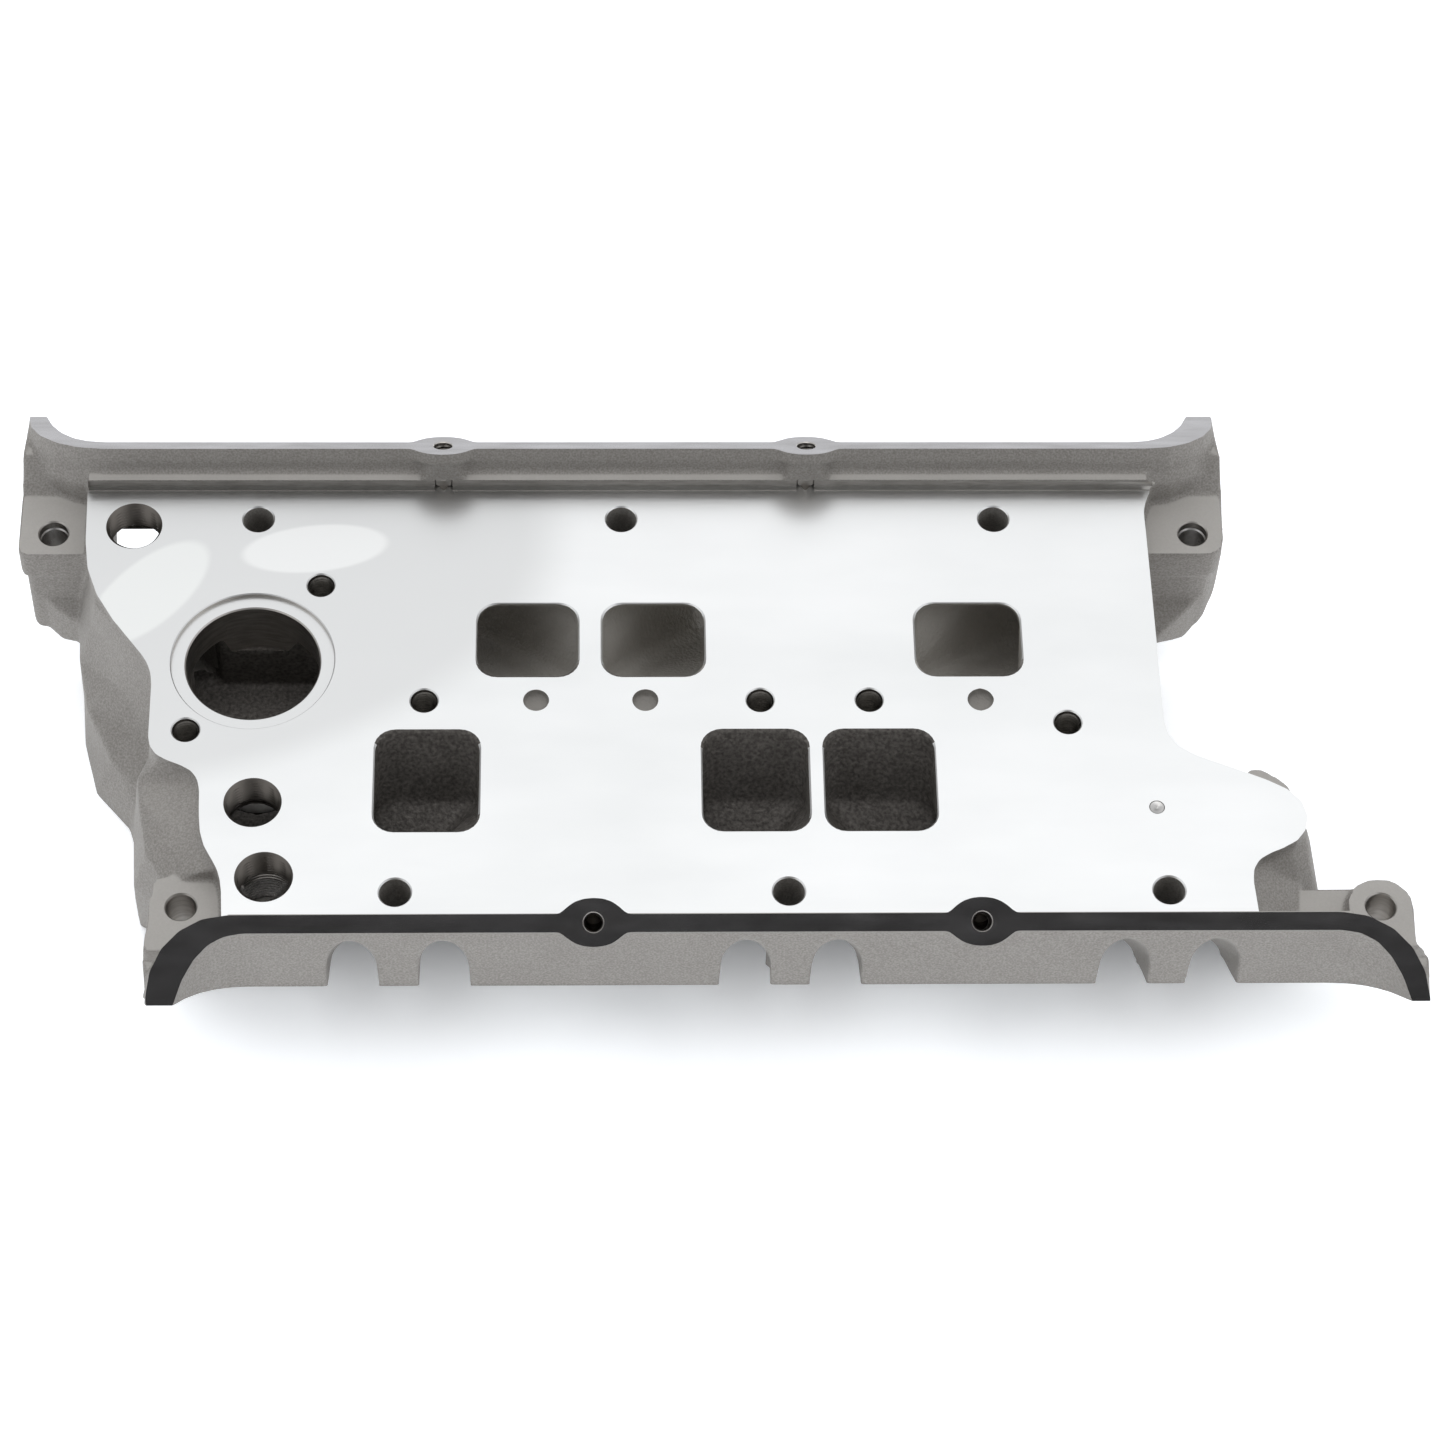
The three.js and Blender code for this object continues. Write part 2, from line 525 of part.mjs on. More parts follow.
function drillings() {
  const cuts = [
    cylinder(THERMOSTAT.x, THERMOSTAT.y, DUCT.roof - 8, 1, THERMOSTAT.bore, 32),
    cylinder(THERMOSTAT.x, THERMOSTAT.y, -THERMOSTAT.recessDepth, 1, THERMOSTAT.recess, 32),
    cylinder(DECK_PIN.x, DECK_PIN.y, -DECK_PIN.length - PIN_GAP, 1, DECK_PIN.r + INSERT_GAP),
  ];
  [THROUGH_PORT, HEATER_PORT].forEach(([x, y]) => {
    cuts.push(cylinder(x, y, DUCT.roof - 4, 1, PIPE_PORT, ROUND));
  });
  cuts.push(cylinder(...VACUUM_PORT, VACUUM_DEPTH, 1, PIPE_PORT, ROUND));
  [...COVER_STUDS, BRACKET_HOLE, ...PLENUM_X.map((x) => [x, 0])].forEach(([x, y]) => {
    cuts.push(cylinder(x, y, -M8_INSERT - 2 * INSERT_RECESS, 1, M8_HOLE));
    cuts.push(cylinder(x, y, -M8_DRILL, 1, M8_CORE));
  });
  CAST_RECESS_X.forEach((x) => cuts.push(cylinder(x, 0, -CAST_RECESS.depth, 1, CAST_RECESS.radius)));
  Object.entries(EARS).forEach(([name, [x, y]]) => {
    cuts.push(cylinder(x, y, FOOT - 1, 1, EAR_HOLE));
    if (name.startsWith("rear")) {
      cuts.push(cylinder(x, y, EAR_TOP - SLEEVE_DEPTH - SLEEVE_LENGTH - INSERT_RECESS, 1, SLEEVE_HOLE));
    }
  });
  CORE_PLUGS.forEach(([, x, y, radius]) => {
    cuts.push(cylinder(x, y, FOOT - 1, DUCT.floor + DUCT.plate + 1, radius));
  });
  SHIELD_POSTS.forEach(([x, y]) => {
    cuts.push(cylinder(x, y, SHIELD.z, SHIELD.z + RIVET_DEPTH, RIVET.shank + INSERT_GAP));
  });
  return cuts;
}

// The milling cutter's room over the deck, between the two rails.
const deckClearance = () =>
  bar([[-DECK_EDGE_Y, 0], [DECK_EDGE_Y, 0], [DECK_EDGE_Y, FAR], [-DECK_EDGE_Y, FAR]], -FAR, FAR);

function casting() {
  const rear = bank(REAR_PORTS);
  const front = turned(bank(FRONT_PORTS));
  const bodies = [
    rear,
    front,
    prism(DECK_PLAN, -DECK_THICKNESS, 0),
    endWall(LEFT_WALL, LEFT_INBOARD).subtract(prism(LEFT_HOLLOW, FOOT - 1, DUCT.floor)),
    endWall(RIGHT_WALL, RIGHT_INBOARD).subtract(prism(RIGHT_HOLLOW, FOOT - 1, -DECK_THICKNESS)),
    squareEar(...EARS.rearLeft, -END_X + 0.1 - EARS.rearLeft[0], 12, 2),
    squareEar(...EARS.rearRight, -16, 9.5, 7),
    roundEar(...EARS.frontLeft),
    roundEar(...EARS.frontRight),
    ...FILLERS.map(([plan, bottom, top]) => prism(plan, bottom, top)),
  ];
  SHIELD_POSTS.forEach(([x, y]) => bodies.push(cylinder(x, y, SHIELD.z + GAP, -1, SHIELD_POST_RADIUS)));
  [...PLENUM_X.map((x) => [x, 0]), BRACKET_HOLE, ...COVER_STUDS].forEach(([x, y]) => {
    bodies.push(cylinder(x, y, -M8_DRILL - 4, -1, M8_BOSS));
  });
  const space = bankSpace().intersect(turned(bankSpace()));
  const cuts = [...bankCuts(REAR_PORTS), ...bankCuts(FRONT_PORTS).map(turned), ...ductCuts(), ...drillings()];
  return join(bodies).intersect(space).subtract(deckClearance()).subtract(join(cuts));
}

// A closed ring or cup turned from [radius, height] points.
function turnedPiece(profile, sides) {
  const points = profile.map(([radius, height]) => new THREE.Vector2(radius, height));
  return new THREE.LatheGeometry(points, sides).rotateX(Math.PI / 2);
}

// A hollow cylinder, from its bottom at zero.
const ring = (inner, outer, length, sides = SMALL_ROUND) =>
  turnedPiece([[inner, 0], [outer, 0], [outer, length], [inner, length], [inner, 0]], sides);

const coreCup = (radius) =>
  turnedPiece(
    [
      [0, CORE_PLUG_HEIGHT - CORE_PLUG_SHEET],
      [radius - CORE_PLUG_SHEET, CORE_PLUG_HEIGHT - CORE_PLUG_SHEET],
      [radius - CORE_PLUG_SHEET, 0],
      [radius, 0],
      [radius, CORE_PLUG_HEIGHT],
      [0, CORE_PLUG_HEIGHT],
    ],
    SMALL_ROUND,
  );

// A drive rivet: its shank stands up from the dome.
const driveRivet = () =>
  turnedPiece(
    [
      [0, -RIVET.dome],
      [RIVET.head * 0.6, -RIVET.dome * 0.8],
      [RIVET.head, -GAP],
      [RIVET.head, 0],
      [RIVET.shank, 0],
      [RIVET.shank, RIVET_DEPTH],
      [0, RIVET_DEPTH],
    ],
    SMALL_ROUND,
  );

// The pressed splash shield: a shallow tray, open upwards.
function splashShield() {
  const tray = prism(SHIELD_PLAN, SHIELD.z - SHIELD.sheet, SHIELD.z + SHIELD_LIP);
  const hollow = prism(insetPlan(SHIELD_PLAN, SHIELD.sheet), SHIELD.z, SHIELD.z + 2 * SHIELD_LIP);
  const holes = SHIELD_POSTS.map(([x, y]) => cylinder(x, y, FOOT, 0, SHIELD.hole + INSERT_GAP));
  return tray.subtract(hollow).subtract(join(holes));
}

// A plan moved in by a distance, towards its own middle on each axis.
function insetPlan(plan, distance) {
  const middleX = plan.reduce((sum, [x]) => sum + x, 0) / plan.length;
  const inward = (value, middle) => value - Math.sign(value - middle) * distance;
  return plan.map(([x, y, setback]) => [inward(x, middleX), inward(y, 0), setback]);
}

const manifold = new THREE.Group();
manifold.position.set(0, 0, DECK_HEIGHT);

function add(name, geometry, material) {
  const mesh = new THREE.Mesh(geometry, material);
  mesh.name = name;
  manifold.add(mesh);
  return mesh;
}

add("manifold_casting", geometryOf(casting()), CAST);

// Wire thread inserts for the deck's M8 screws, a little below the deck.
function deckInsert(name, x, y) {
  const mesh = add(name, ring(M8_CORE, M8_HOLE - INSERT_GAP, M8_INSERT), STAINLESS);
  mesh.position.set(x, y, -M8_INSERT - INSERT_RECESS);
}
COVER_STUDS.forEach(([x, y], i) => deckInsert(`thread_insert_thermostat_${i + 1}`, x, y));
deckInsert("thread_insert_bracket", ...BRACKET_HOLE);
PLENUM_X.forEach((x, i) => deckInsert(`thread_insert_plenum_${i + 1}`, x, 0));

// Wire thread inserts for the rocker-cover screws, square to the rails.
function railInsert(name, x, side) {
  const mesh = add(name, ring(M6_CORE, M6_HOLE - INSERT_GAP, M6_INSERT), STAINLESS);
  const down = M6_INSERT + INSERT_RECESS;
  mesh.rotation.set(-side * RAIL_TILT, 0, 0);
  const y = railY(RAIL_SCREW_S) - down * Math.sin(RAIL_TILT);
  mesh.position.set(side * x, side * y, railZ(RAIL_SCREW_S) - down * Math.cos(RAIL_TILT));
}
RAIL_SCREW_X.forEach((x, i) => railInsert(`thread_insert_rear_rail_${i + 1}`, x, 1));
RAIL_SCREW_X.forEach((x, i) => railInsert(`thread_insert_front_rail_${i + 1}`, x, -1));

// Hollow dowel sleeves in the rear ears.
["rearLeft", "rearRight"].forEach((ear, i) => {
  const [x, y] = EARS[ear];
  const shape = ring(EAR_HOLE, SLEEVE_HOLE - INSERT_GAP, SLEEVE_LENGTH);
  const sleeve = add(`dowel_sleeve_${["left", "right"][i]}`, shape, STEEL);
  sleeve.position.set(x, y, EAR_TOP - SLEEVE_DEPTH - SLEEVE_LENGTH);
});

const pin = new THREE.CylinderGeometry(DECK_PIN.r, DECK_PIN.r, DECK_PIN.length, SMALL_ROUND);
add("deck_pin", pin.rotateX(Math.PI / 2), STEEL).position.set(DECK_PIN.x, DECK_PIN.y, -DECK_PIN.length / 2);

CORE_PLUGS.forEach(([name, x, y, radius]) => {
  add(name, coreCup(radius - INSERT_GAP), PLUG_STEEL).position.set(x, y, DUCT.floor);
});

add("splash_shield", geometryOf(splashShield()), ZINC);
SHIELD_POSTS.forEach(([x, y], i) => {
  add(`shield_rivet_${i + 1}`, driveRivet(), STEEL).position.set(x, y, SHIELD.z - SHIELD.sheet - GAP);
});

export default manifold;
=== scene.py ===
"""A bare lower intake manifold of a 60 degree V6 on a pale floor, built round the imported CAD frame.

The rough casting starts from the CAD solid: stock is added where it is machined, the holes are filled,
it is remeshed and smoothed into a casting, and then it is milled, bored and tapped as the real one is.
Lengths in the making are millimetres from the machined deck, and become metres in build().
"""

import math

import bmesh
import bpy
import numpy as np
from mathutils import Matrix, Vector, noise


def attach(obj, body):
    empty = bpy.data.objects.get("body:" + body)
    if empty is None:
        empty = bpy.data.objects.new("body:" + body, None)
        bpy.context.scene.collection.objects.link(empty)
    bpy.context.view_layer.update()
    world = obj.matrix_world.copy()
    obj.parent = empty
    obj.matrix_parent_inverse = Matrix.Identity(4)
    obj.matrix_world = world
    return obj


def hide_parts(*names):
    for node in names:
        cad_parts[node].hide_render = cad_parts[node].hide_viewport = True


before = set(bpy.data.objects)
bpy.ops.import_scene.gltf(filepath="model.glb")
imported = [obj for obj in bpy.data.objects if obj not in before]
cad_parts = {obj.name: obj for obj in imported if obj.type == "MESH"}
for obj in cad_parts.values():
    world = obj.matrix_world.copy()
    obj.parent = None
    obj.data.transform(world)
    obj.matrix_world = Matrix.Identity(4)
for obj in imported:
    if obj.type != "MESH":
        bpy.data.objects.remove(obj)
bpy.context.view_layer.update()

MM = 0.001
DECK_HEIGHT = 60.0
FOOT = -DECK_HEIGHT
FAR = 300.0
SLAB = 40.0  # how thick the cutter of a tilted plane is
OVER = 1.0  # how far a cutter starts outside the face that it enters
APART = 0.5  # keeps two cutters of one cut from touching
FILL_PAST = 1.0  # how far a filling reaches past the hole that it fills

# Machined planes
DECK_EDGE_Y = 77.2
BAND_Y = 78.8  # the end mill's upright band beside the deck
BAND_HEIGHT = 5.0
BAND_LEDGE = 0.4
BAND_ENDS = (-186.0, 137.0)
RAIL_INNER_Y = 82.6
RAIL_TOP = 14.1
RAIL_TILT = math.radians(30)
RAIL_REACH = 25.5
FLANGE_SLOPE = math.radians(48)
STOCK = 3.5  # metal left on a face for its machining
BAND_STOCK = {"inset": 1.0, "depth": 3.0, "width": 4.6, "over": 0.6}
BAND_RUN_OUT = 2.0

# Holes
BOLTS = [(-134.0, 66.5), (-23.9, 66.5), (89.6, 66.5), (134.0, -66.5), (23.9, -66.5), (-89.6, -66.5)]
BOLT_HOLE = 4.6
BOLT_CHAMFER = 0.4
REAR_EARS = [(-196.8, 67.0), (151.5, 66.6)]
FRONT_EARS = [(-151.6, -66.4), (196.5, -67.4)]
EAR_TOP = -8.0
EAR_HOLE = 4.4
EAR_CHAMFER = 0.4
EAR_FILLING = {"r": 6.5, "bottom": -42.0}
SLEEVE = {"depth": 3.0, "length": 14.0, "hole": 5.3, "bore": 4.1}
THERMOSTAT = {
    "x": -133.7,
    "y": 14.5,
    "bore": 19.95,
    "recess": 24.25,
    "recess_depth": 1.5,
    "recess_chamfer": 0.3,
    "bore_chamfer": 0.4,
    "floor": -22.0,
    "filled": -13.0,
    "cored_inside": 19.8,  # the sand core's own wall lies nearer to the middle than this
    "recess_reach": 26.0,
}
COVER_STUDS = [(-114.3, 41.9), (-152.4, -10.2)]
BRACKET_HOLE = (108.0, -8.1)
PLENUM_X = [-82.5, 17.0, 49.4]
M8 = {"hole": 4.05, "core": 3.35, "pitch": 1.25, "length": 12.0, "drill": 18.0, "chamfer": 0.35}
M6 = {"hole": 2.8, "core": 2.4, "pitch": 1.0, "length": 7.0, "drill": 13.5, "chamfer": 0.25}
CAST_RECESS_X = [-49.4, -17.0, 82.5]  # blind marks between the ports
CAST_RECESS = 4.05
CAST_RECESS_BOTTOM = -5.0
# Radii in metres: a patch of painted light on each of those marks, and a patch of painted shade on each
# pipe port
CAST_RECESS_PAINTED_LIGHT = 0.008
PIPE_PORT_SHADE = 0.012
# Where the rail drill leaves the wall, over the deck
RAIL_WAY_OUT = {"y": 77.9, "top": 5.5, "bottom": -0.02}
INSERT_RECESS = 0.6
INSERT_GAP = 0.05
RAIL_SCREW_X = [-78.0, 32.5]
RAIL_SCREW_S = 2.4
RAIL_FILLING = {"r": 3.5, "top": 1.0, "bottom": -0.7 * RAIL_REACH}
PIPE = {
    "major": 8.3,
    "thread": 0.75,
    "pitch": 1.41,
    "flare": 1.2,
    "throat": 0.9,
    "filled": -9.0,
    "bored": -14.0,
}
PIPE_PORTS = [(-171.5, 64.0, -18.0), (-131.7, -35.7, -18.0), (-127.5, -61.2, -24.0)]
DECK_PIN = {"x": 132.4, "y": -38.1, "r": 2.25, "length": 9.0, "room": 0.3, "filling": 4.0}
CORE_PLUGS = {
    "core_plug_thermostat_well": (-133.7, -1.0, 13.0),
    "core_plug_heater_passage": (-134.0, -31.0, 8.0),
}
DUCT_FLOOR = -46.0
CORE_PLUG_HEIGHT = 6.0
CORE_PLUG_SHEET = 1.2
SHIELD_POSTS = [(-92.0, 24.0), (-92.0, 2.0), (104.0, 22.0), (104.0, -22.0)]
SHIELD_Z = -54.0
SHIELD_SHEET = 1.5
RIVET_DEPTH = 14.0

# Deck ports: middle X, middle Y, width, length
PORTS = [
    (-52.0, 21.8, 30.1, 26.2),
    (-14.5, 21.8, 30.6, 26.2),
    (79.8, 21.8, 31.8, 26.2),
    (51.7, -28.2, 32.6, 35.0),
    (15.2, -28.2, 31.3, 35.0),
    (-81.2, -28.2, 30.7, 35.0),
]
PORT_CORNER = 6.0
PORT_CHAMFER = 0.45
HEAD_PORTS = [(-92.1, 72.0), (19.7, 72.0), (131.4, 72.0), (92.1, -72.0), (-19.7, -72.0), (-131.4, -72.0)]
HEAD_PORT_Z = -35.0
RUNNER_DROP = 22.0  # how far a runner goes straight down before it turns
RUNNER_LEAN = (16.0, -15.0)
CORED_SHADE_REACH = 24.0  # how far from a runner's middle its walls may be
CORED_SHADE_FACING = 0.45  # how squarely a wall must face that middle
# the coolant room, whose walls also get the painted shade of the runners
DUCT_ROOM = ((-162.0, -45.0, -42.0), (-112.0, 36.0, -11.5))

# The casting's surface
VOXEL = 0.8
SMOOTHING = 6
CAST_TRIANGLES = 150_000
RIPPLE = 0.1
ROUND = 64
# the last finish, of the cored walls, is a dark colour painted as shade
FINISHES = ("cast", "milled", "rail", "bored", "cored_shade")
CAST, MILLED, RAIL, BORED, CORED_SHADE = range(len(FINISHES))

# The room
FLOOR_HALF = 4.0
FLOOR_GLOW = 0.62  # the table is a lightbox, and its glow is dimmed under the part by ambient occlusion: a painted shadow
FLOOR_GLOW_IN_PAINTED_SHADOW = 0.1
GLOW_REACH = 0.12
GLOW_STARTS = 0.1
GLOW_FULL = 0.65
HORIZON_LIGHT = 0.42
FULL_SKY_FROM = 0.55  # the height in the sky, as a part of straight up
DARK_SIDE = (0.0, -0.555, 0.832)  # towards the camera and its people
DARK_SIDE_LIGHT = 0.07
DARK_SIDE_EDGE = math.cos(math.radians(38))
DARK_SIDE_CORE = math.cos(math.radians(16))
CAMERA_PITCH = math.radians(56.304)
CAMERA_YAW = math.radians(2.927)
CAMERA_ROLL = math.radians(2.325)
CAMERA_PLACE = (-0.03139, -0.74856, 1.11064 + DECK_HEIGHT * MM)
CAMERA_LENS = 112.2


# ---------------------------------------------------------------- meshes


def build(name, vertices, faces):
    """A mesh object from millimetre points that count from the deck."""
    mesh = bpy.data.meshes.new(name)
    metres = np.asarray(vertices, float) * MM + np.array([0, 0, DECK_HEIGHT * MM])
    mesh.from_pydata(metres.tolist(), [], faces)
    mesh.update()
    made = bpy.data.objects.new(name, mesh)
    bpy.context.scene.collection.objects.link(made)
    return made


def loft(rings):
    """A closed skin over rings of points, from the top down, each ring counter-clockwise from above."""
    rings = np.asarray(rings, float)
    levels, count = rings.shape[:2]
    faces = []
    for k in range(levels - 1):
        for i in range(count):
            j = (i + 1) % count
            faces.append((k * count + i, (k + 1) * count + i, (k + 1) * count + j, k * count + j))
    faces.append(tuple(range(count)))
    faces.append(tuple(reversed(range((levels - 1) * count, levels * count))))
    return rings.reshape(-1, 3), faces


def merge(parts):
    """Several (vertices, faces) in one."""
    vertices, faces, start = [], [], 0
    for points, quads in parts:
        vertices.extend(np.asarray(points).tolist())
        faces.extend(tuple(start + i for i in quad) for quad in quads)
        start += len(points)
    return vertices, faces


def circle(radius, count=ROUND):
    angles = np.arange(count) * (2 * math.pi / count)
    return np.stack([radius * np.cos(angles), radius * np.sin(angles), np.zeros(count)], axis=1)


def revolve(profile, at=(0, 0, 0), tilt=0.0, count=ROUND):
    """A solid turned from [radius, height] points that fall; tilt leans its axis about X."""
    tiny = 1e-3
    rings = [circle(max(radius, tiny), count) + [0, 0, height] for radius, height in profile]
    points, faces = loft(rings)
    turn = np.array(Matrix.Rotation(tilt, 3, "X"))
    return points @ turn.T + np.asarray(at, float), faces


def bar(at, radius, top, bottom, lean=0.0, count=32):
    """A plain round bar."""
    return revolve([(radius, top), (radius, bottom)], at, lean, count)


def tap(major, depth, pitch, top, bottom, at, count=48):
    """A threaded rod, to cut a thread with."""
    rows = np.arange(top, bottom, -pitch / 8)
    angles = np.arange(count) * (2 * math.pi / count)
    rings = []
    for height in rows:
        phase = (height / pitch + angles / (2 * math.pi)) % 1
        radius = major - depth * np.abs(2 * phase - 1)
        x, y = radius * np.cos(angles), radius * np.sin(angles)
        rings.append(np.stack([x, y, np.full(count, height)], axis=1))
    points, faces = loft(rings)
    return points + np.asarray([at[0], at[1], 0.0]), faces


def block(low, high):
    (x0, y0, z0), (x1, y1, z1) = low, high
    plan = [(x0, y0), (x1, y0), (x1, y1), (x0, y1)]
    return loft([[(x, y, z1) for x, y in plan], [(x, y, z0) for x, y in plan]])


def slab_beyond(point_y, point_z, normal_angle):
    """A thick slab along X that starts at a plane through (y, z) and lies on its normal's side."""
    normal = np.array([0, math.cos(normal_angle), math.sin(normal_angle)])
    along = np.array([0, -math.sin(normal_angle), math.cos(normal_angle)])
    base = np.array([0, point_y, point_z])
    points, faces = block((-FAR, -FAR, 0), (FAR, FAR, SLAB))
    axes = np.array([[1, 0, 0], along, normal])
    if np.linalg.det(axes) < 0:
        faces = [tuple(reversed(face)) for face in faces]
    return points @ axes + base, faces


def apply_modifiers(target):
    graph = bpy.context.evaluated_depsgraph_get()
    made = bpy.data.meshes.new_from_object(target.evaluated_get(graph))
    old = target.data
    target.modifiers.clear()
    target.data = made
    bpy.data.meshes.remove(old)


def carve(target, parts, operation="DIFFERENCE"):
    """Cuts away or joins on one or more closed solids, in one step."""
    tool = build("tool", *merge(parts))
    change = target.modifiers.new("carve", "BOOLEAN")
    change.operation = operation
    change.solver = "MANIFOLD"
    change.object = tool
    apply_modifiers(target)
    bpy.data.objects.remove(tool)


# ---------------------------------------------------------------- places


def rail_yz(s):
    return RAIL_INNER_Y + s * math.cos(RAIL_TILT), RAIL_TOP - s * math.sin(RAIL_TILT)


TIP_Y, TIP_Z = rail_yz(RAIL_REACH)
RAIL_NORMAL = math.pi / 2 - RAIL_TILT  # from +Y, for the rear bank
FLANGE_NORMAL = FLANGE_SLOPE - math.pi / 2


def bank_normal(side, angle):
    """A bank's tilted face looks this way: side is 1 at the rear and -1 at the front."""
    return 0, side * math.cos(angle), math.sin(angle)


def rail_screws():
    """Each rail screw as (x, y, z, lean of its axis about X)."""
    y, z = rail_yz(RAIL_SCREW_S)
    for x in RAIL_SCREW_X:
        yield x, y, z, -RAIL_TILT
        yield -x, -y, z, RAIL_TILT


def tapped_holes():
    return [*COVER_STUDS, BRACKET_HOLE, *[(x, 0.0) for x in PLENUM_X]]


# ---------------------------------------------------------------- the casting


def add_stock(solid, normal, point):
    """Grows the faces that lie on a plane outwards, as metal left for machining."""
    normal = Vector(normal)
    level = normal.dot(Vector(point))
    faces = [
        f
        for f in solid.faces
        if f.normal.dot(normal) > 0.999 and abs(f.calc_center_median().dot(normal) - level) < 2e-5
    ]
    grown = bmesh.ops.extrude_face_region(solid, geom=faces)["geom"]
    points = [g for g in grown if isinstance(g, bmesh.types.BMVert)]
    bmesh.ops.translate(solid, verts=points, vec=normal * STOCK * MM)
    left = [f for f in faces if f.is_valid]
    if left:
        bmesh.ops.delete(solid, geom=left, context="FACES_ONLY")


def planes():
    """Each machined plane of the casting: its outward normal and a point on it, in metres."""
    found = [((0, 0, 1), (0, 0, 0)), ((0, 0, -1), (0, 0, FOOT))]
    for side in (1, -1):
        tip = (0, side * TIP_Y, TIP_Z)
        found.append((bank_normal(side, RAIL_NORMAL), tip))
        found.append((bank_normal(side, FLANGE_NORMAL), tip))
    return [(n, Vector(p) * MM + Vector((0, 0, DECK_HEIGHT * MM))) for n, p in found]


def fillings():
    """Solid metal where the deck's holes will be drilled."""
    parts = []
    for x, y in BOLTS:
        parts.append(bar((x, y, 0), BOLT_HOLE + FILL_PAST, STOCK, FOOT - STOCK))
    for x, y in tapped_holes():
        parts.append(bar((x, y, 0), M8["hole"] + FILL_PAST, STOCK, -M8["drill"] - FILL_PAST))
    for x, y, _ in PIPE_PORTS:
        parts.append(bar((x, y, 0), PIPE["major"] + FILL_PAST, STOCK, PIPE["filled"]))
    pin = (DECK_PIN["x"], DECK_PIN["y"], 0)
    parts.append(bar(pin, DECK_PIN["filling"], STOCK, -DECK_PIN["length"] - FILL_PAST))
    return parts


def ear_fillings():
    """The same in the ears, the rails and the thermostat's bore."""
    parts = []
    for x, y in [*REAR_EARS, *FRONT_EARS]:
        parts.append(bar((x, y, 0), EAR_FILLING["r"], EAR_TOP, EAR_FILLING["bottom"]))
    for x, y, z, lean in rail_screws():
        parts.append(bar((x, y, z), RAIL_FILLING["r"], RAIL_FILLING["top"], RAIL_FILLING["bottom"], lean))
    wide = THERMOSTAT["recess"] + FILL_PAST
    narrow = THERMOSTAT["bore"] + 3 * FILL_PAST
    profile = [(wide, STOCK), (narrow, THERMOSTAT["filled"])]
    parts.append(revolve(profile, (THERMOSTAT["x"], THERMOSTAT["y"], 0), count=48))
    return parts


def band_stock():
    """Metal left beside the deck, for the bands."""
    left, right = BAND_ENDS
    y, top = DECK_EDGE_Y - BAND_STOCK["inset"], BAND_HEIGHT + BAND_STOCK["over"]
    rear = block((left, y, -BAND_STOCK["depth"]), (right, y + BAND_STOCK["width"], top))
    front = block((-right, -y - BAND_STOCK["width"], -BAND_STOCK["depth"]), (-left, -y, top))
    return [rear, front]


def rough_casting():
    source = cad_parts["manifold_casting"].data
    solid = bmesh.new()
    solid.from_mesh(source)
    bmesh.ops.remove_doubles(solid, verts=solid.verts, dist=2e-6)
    for normal, point in planes():
        add_stock(solid, normal, point)
    mesh = bpy.data.meshes.new("manifold_casting_looks")
    solid.to_mesh(mesh)
    solid.free()
    mesh.materials.clear()
    body = bpy.data.objects.new("casting", mesh)
    bpy.context.scene.collection.objects.link(body)
    for parts in (fillings(), ear_fillings(), band_stock()):
        carve(body, parts, "UNION")
    remesh = body.modifiers.new("remesh", "REMESH")
    remesh.mode = "VOXEL"
    remesh.voxel_size = VOXEL * MM
    smooth = body.modifiers.new("smooth", "SMOOTH")
    smooth.iterations = SMOOTHING
    smooth.factor = 0.5
    apply_modifiers(body)
    ratio = CAST_TRIANGLES / (2 * len(body.data.polygons))
    if ratio < 1:
        thin = body.modifiers.new("thin", "DECIMATE")
        thin.ratio = ratio
        apply_modifiers(body)
    ripple(body.data)
    return body


def ripple(mesh):
    """The slight unevenness of a sand-cast skin."""
    count = len(mesh.vertices)
    places = np.empty(count * 3)
    normals = np.empty(count * 3)
    mesh.vertices.foreach_get("co", places)
    mesh.vertices.foreach_get("normal", normals)
    places = places.reshape(-1, 3)
    normals = normals.reshape(-1, 3)
    waves = np.array([noise.noise(Vector(p) * 90) + 0.6 * noise.noise(Vector(p) * 260) for p in places])
    places += normals * (waves * RIPPLE * MM)[:, None]
    mesh.vertices.foreach_set("co", places.ravel())
    mesh.update()


def mill(body):
    """The flat faces: deck, bands beside it, rails, head faces and feet."""
    carve(body, [block((-FAR, -DECK_EDGE_Y, 0), (FAR, DECK_EDGE_Y, FAR / 4))])
    left, right = BAND_ENDS
    carve(
        body,
        [
            block((left, 0, BAND_LEDGE), (right + BAND_RUN_OUT, BAND_Y, BAND_HEIGHT)),
            block((-right - BAND_RUN_OUT, -BAND_Y, BAND_LEDGE), (-left, -APART, BAND_HEIGHT)),
        ],
    )
    for side in (1, -1):
        rail = RAIL_NORMAL if side > 0 else math.pi - RAIL_NORMAL
        head = FLANGE_NORMAL if side > 0 else math.pi - FLANGE_NORMAL
        carve(body, [slab_beyond(side * TIP_Y, TIP_Z, rail)])
        carve(body, [slab_beyond(side * TIP_Y, TIP_Z, head)])
    carve(body, [block((-FAR, -FAR, FOOT - FAR / 10), (FAR, FAR, FOOT))])


def port_plan(width, length, corner, grow):
    plan = []
    half_x, half_y = width / 2 - corner, length / 2 - corner
    for quarter, (sx, sy) in enumerate([(1, 1), (-1, 1), (-1, -1), (1, -1)]):
        for i in range(7):
            angle = (quarter + i / 6) * math.pi / 2
            x = sx * half_x + (corner + grow) * math.cos(angle)
            y = sy * half_y + (corner + grow) * math.sin(angle)
            plan.append((x, y))
    return plan


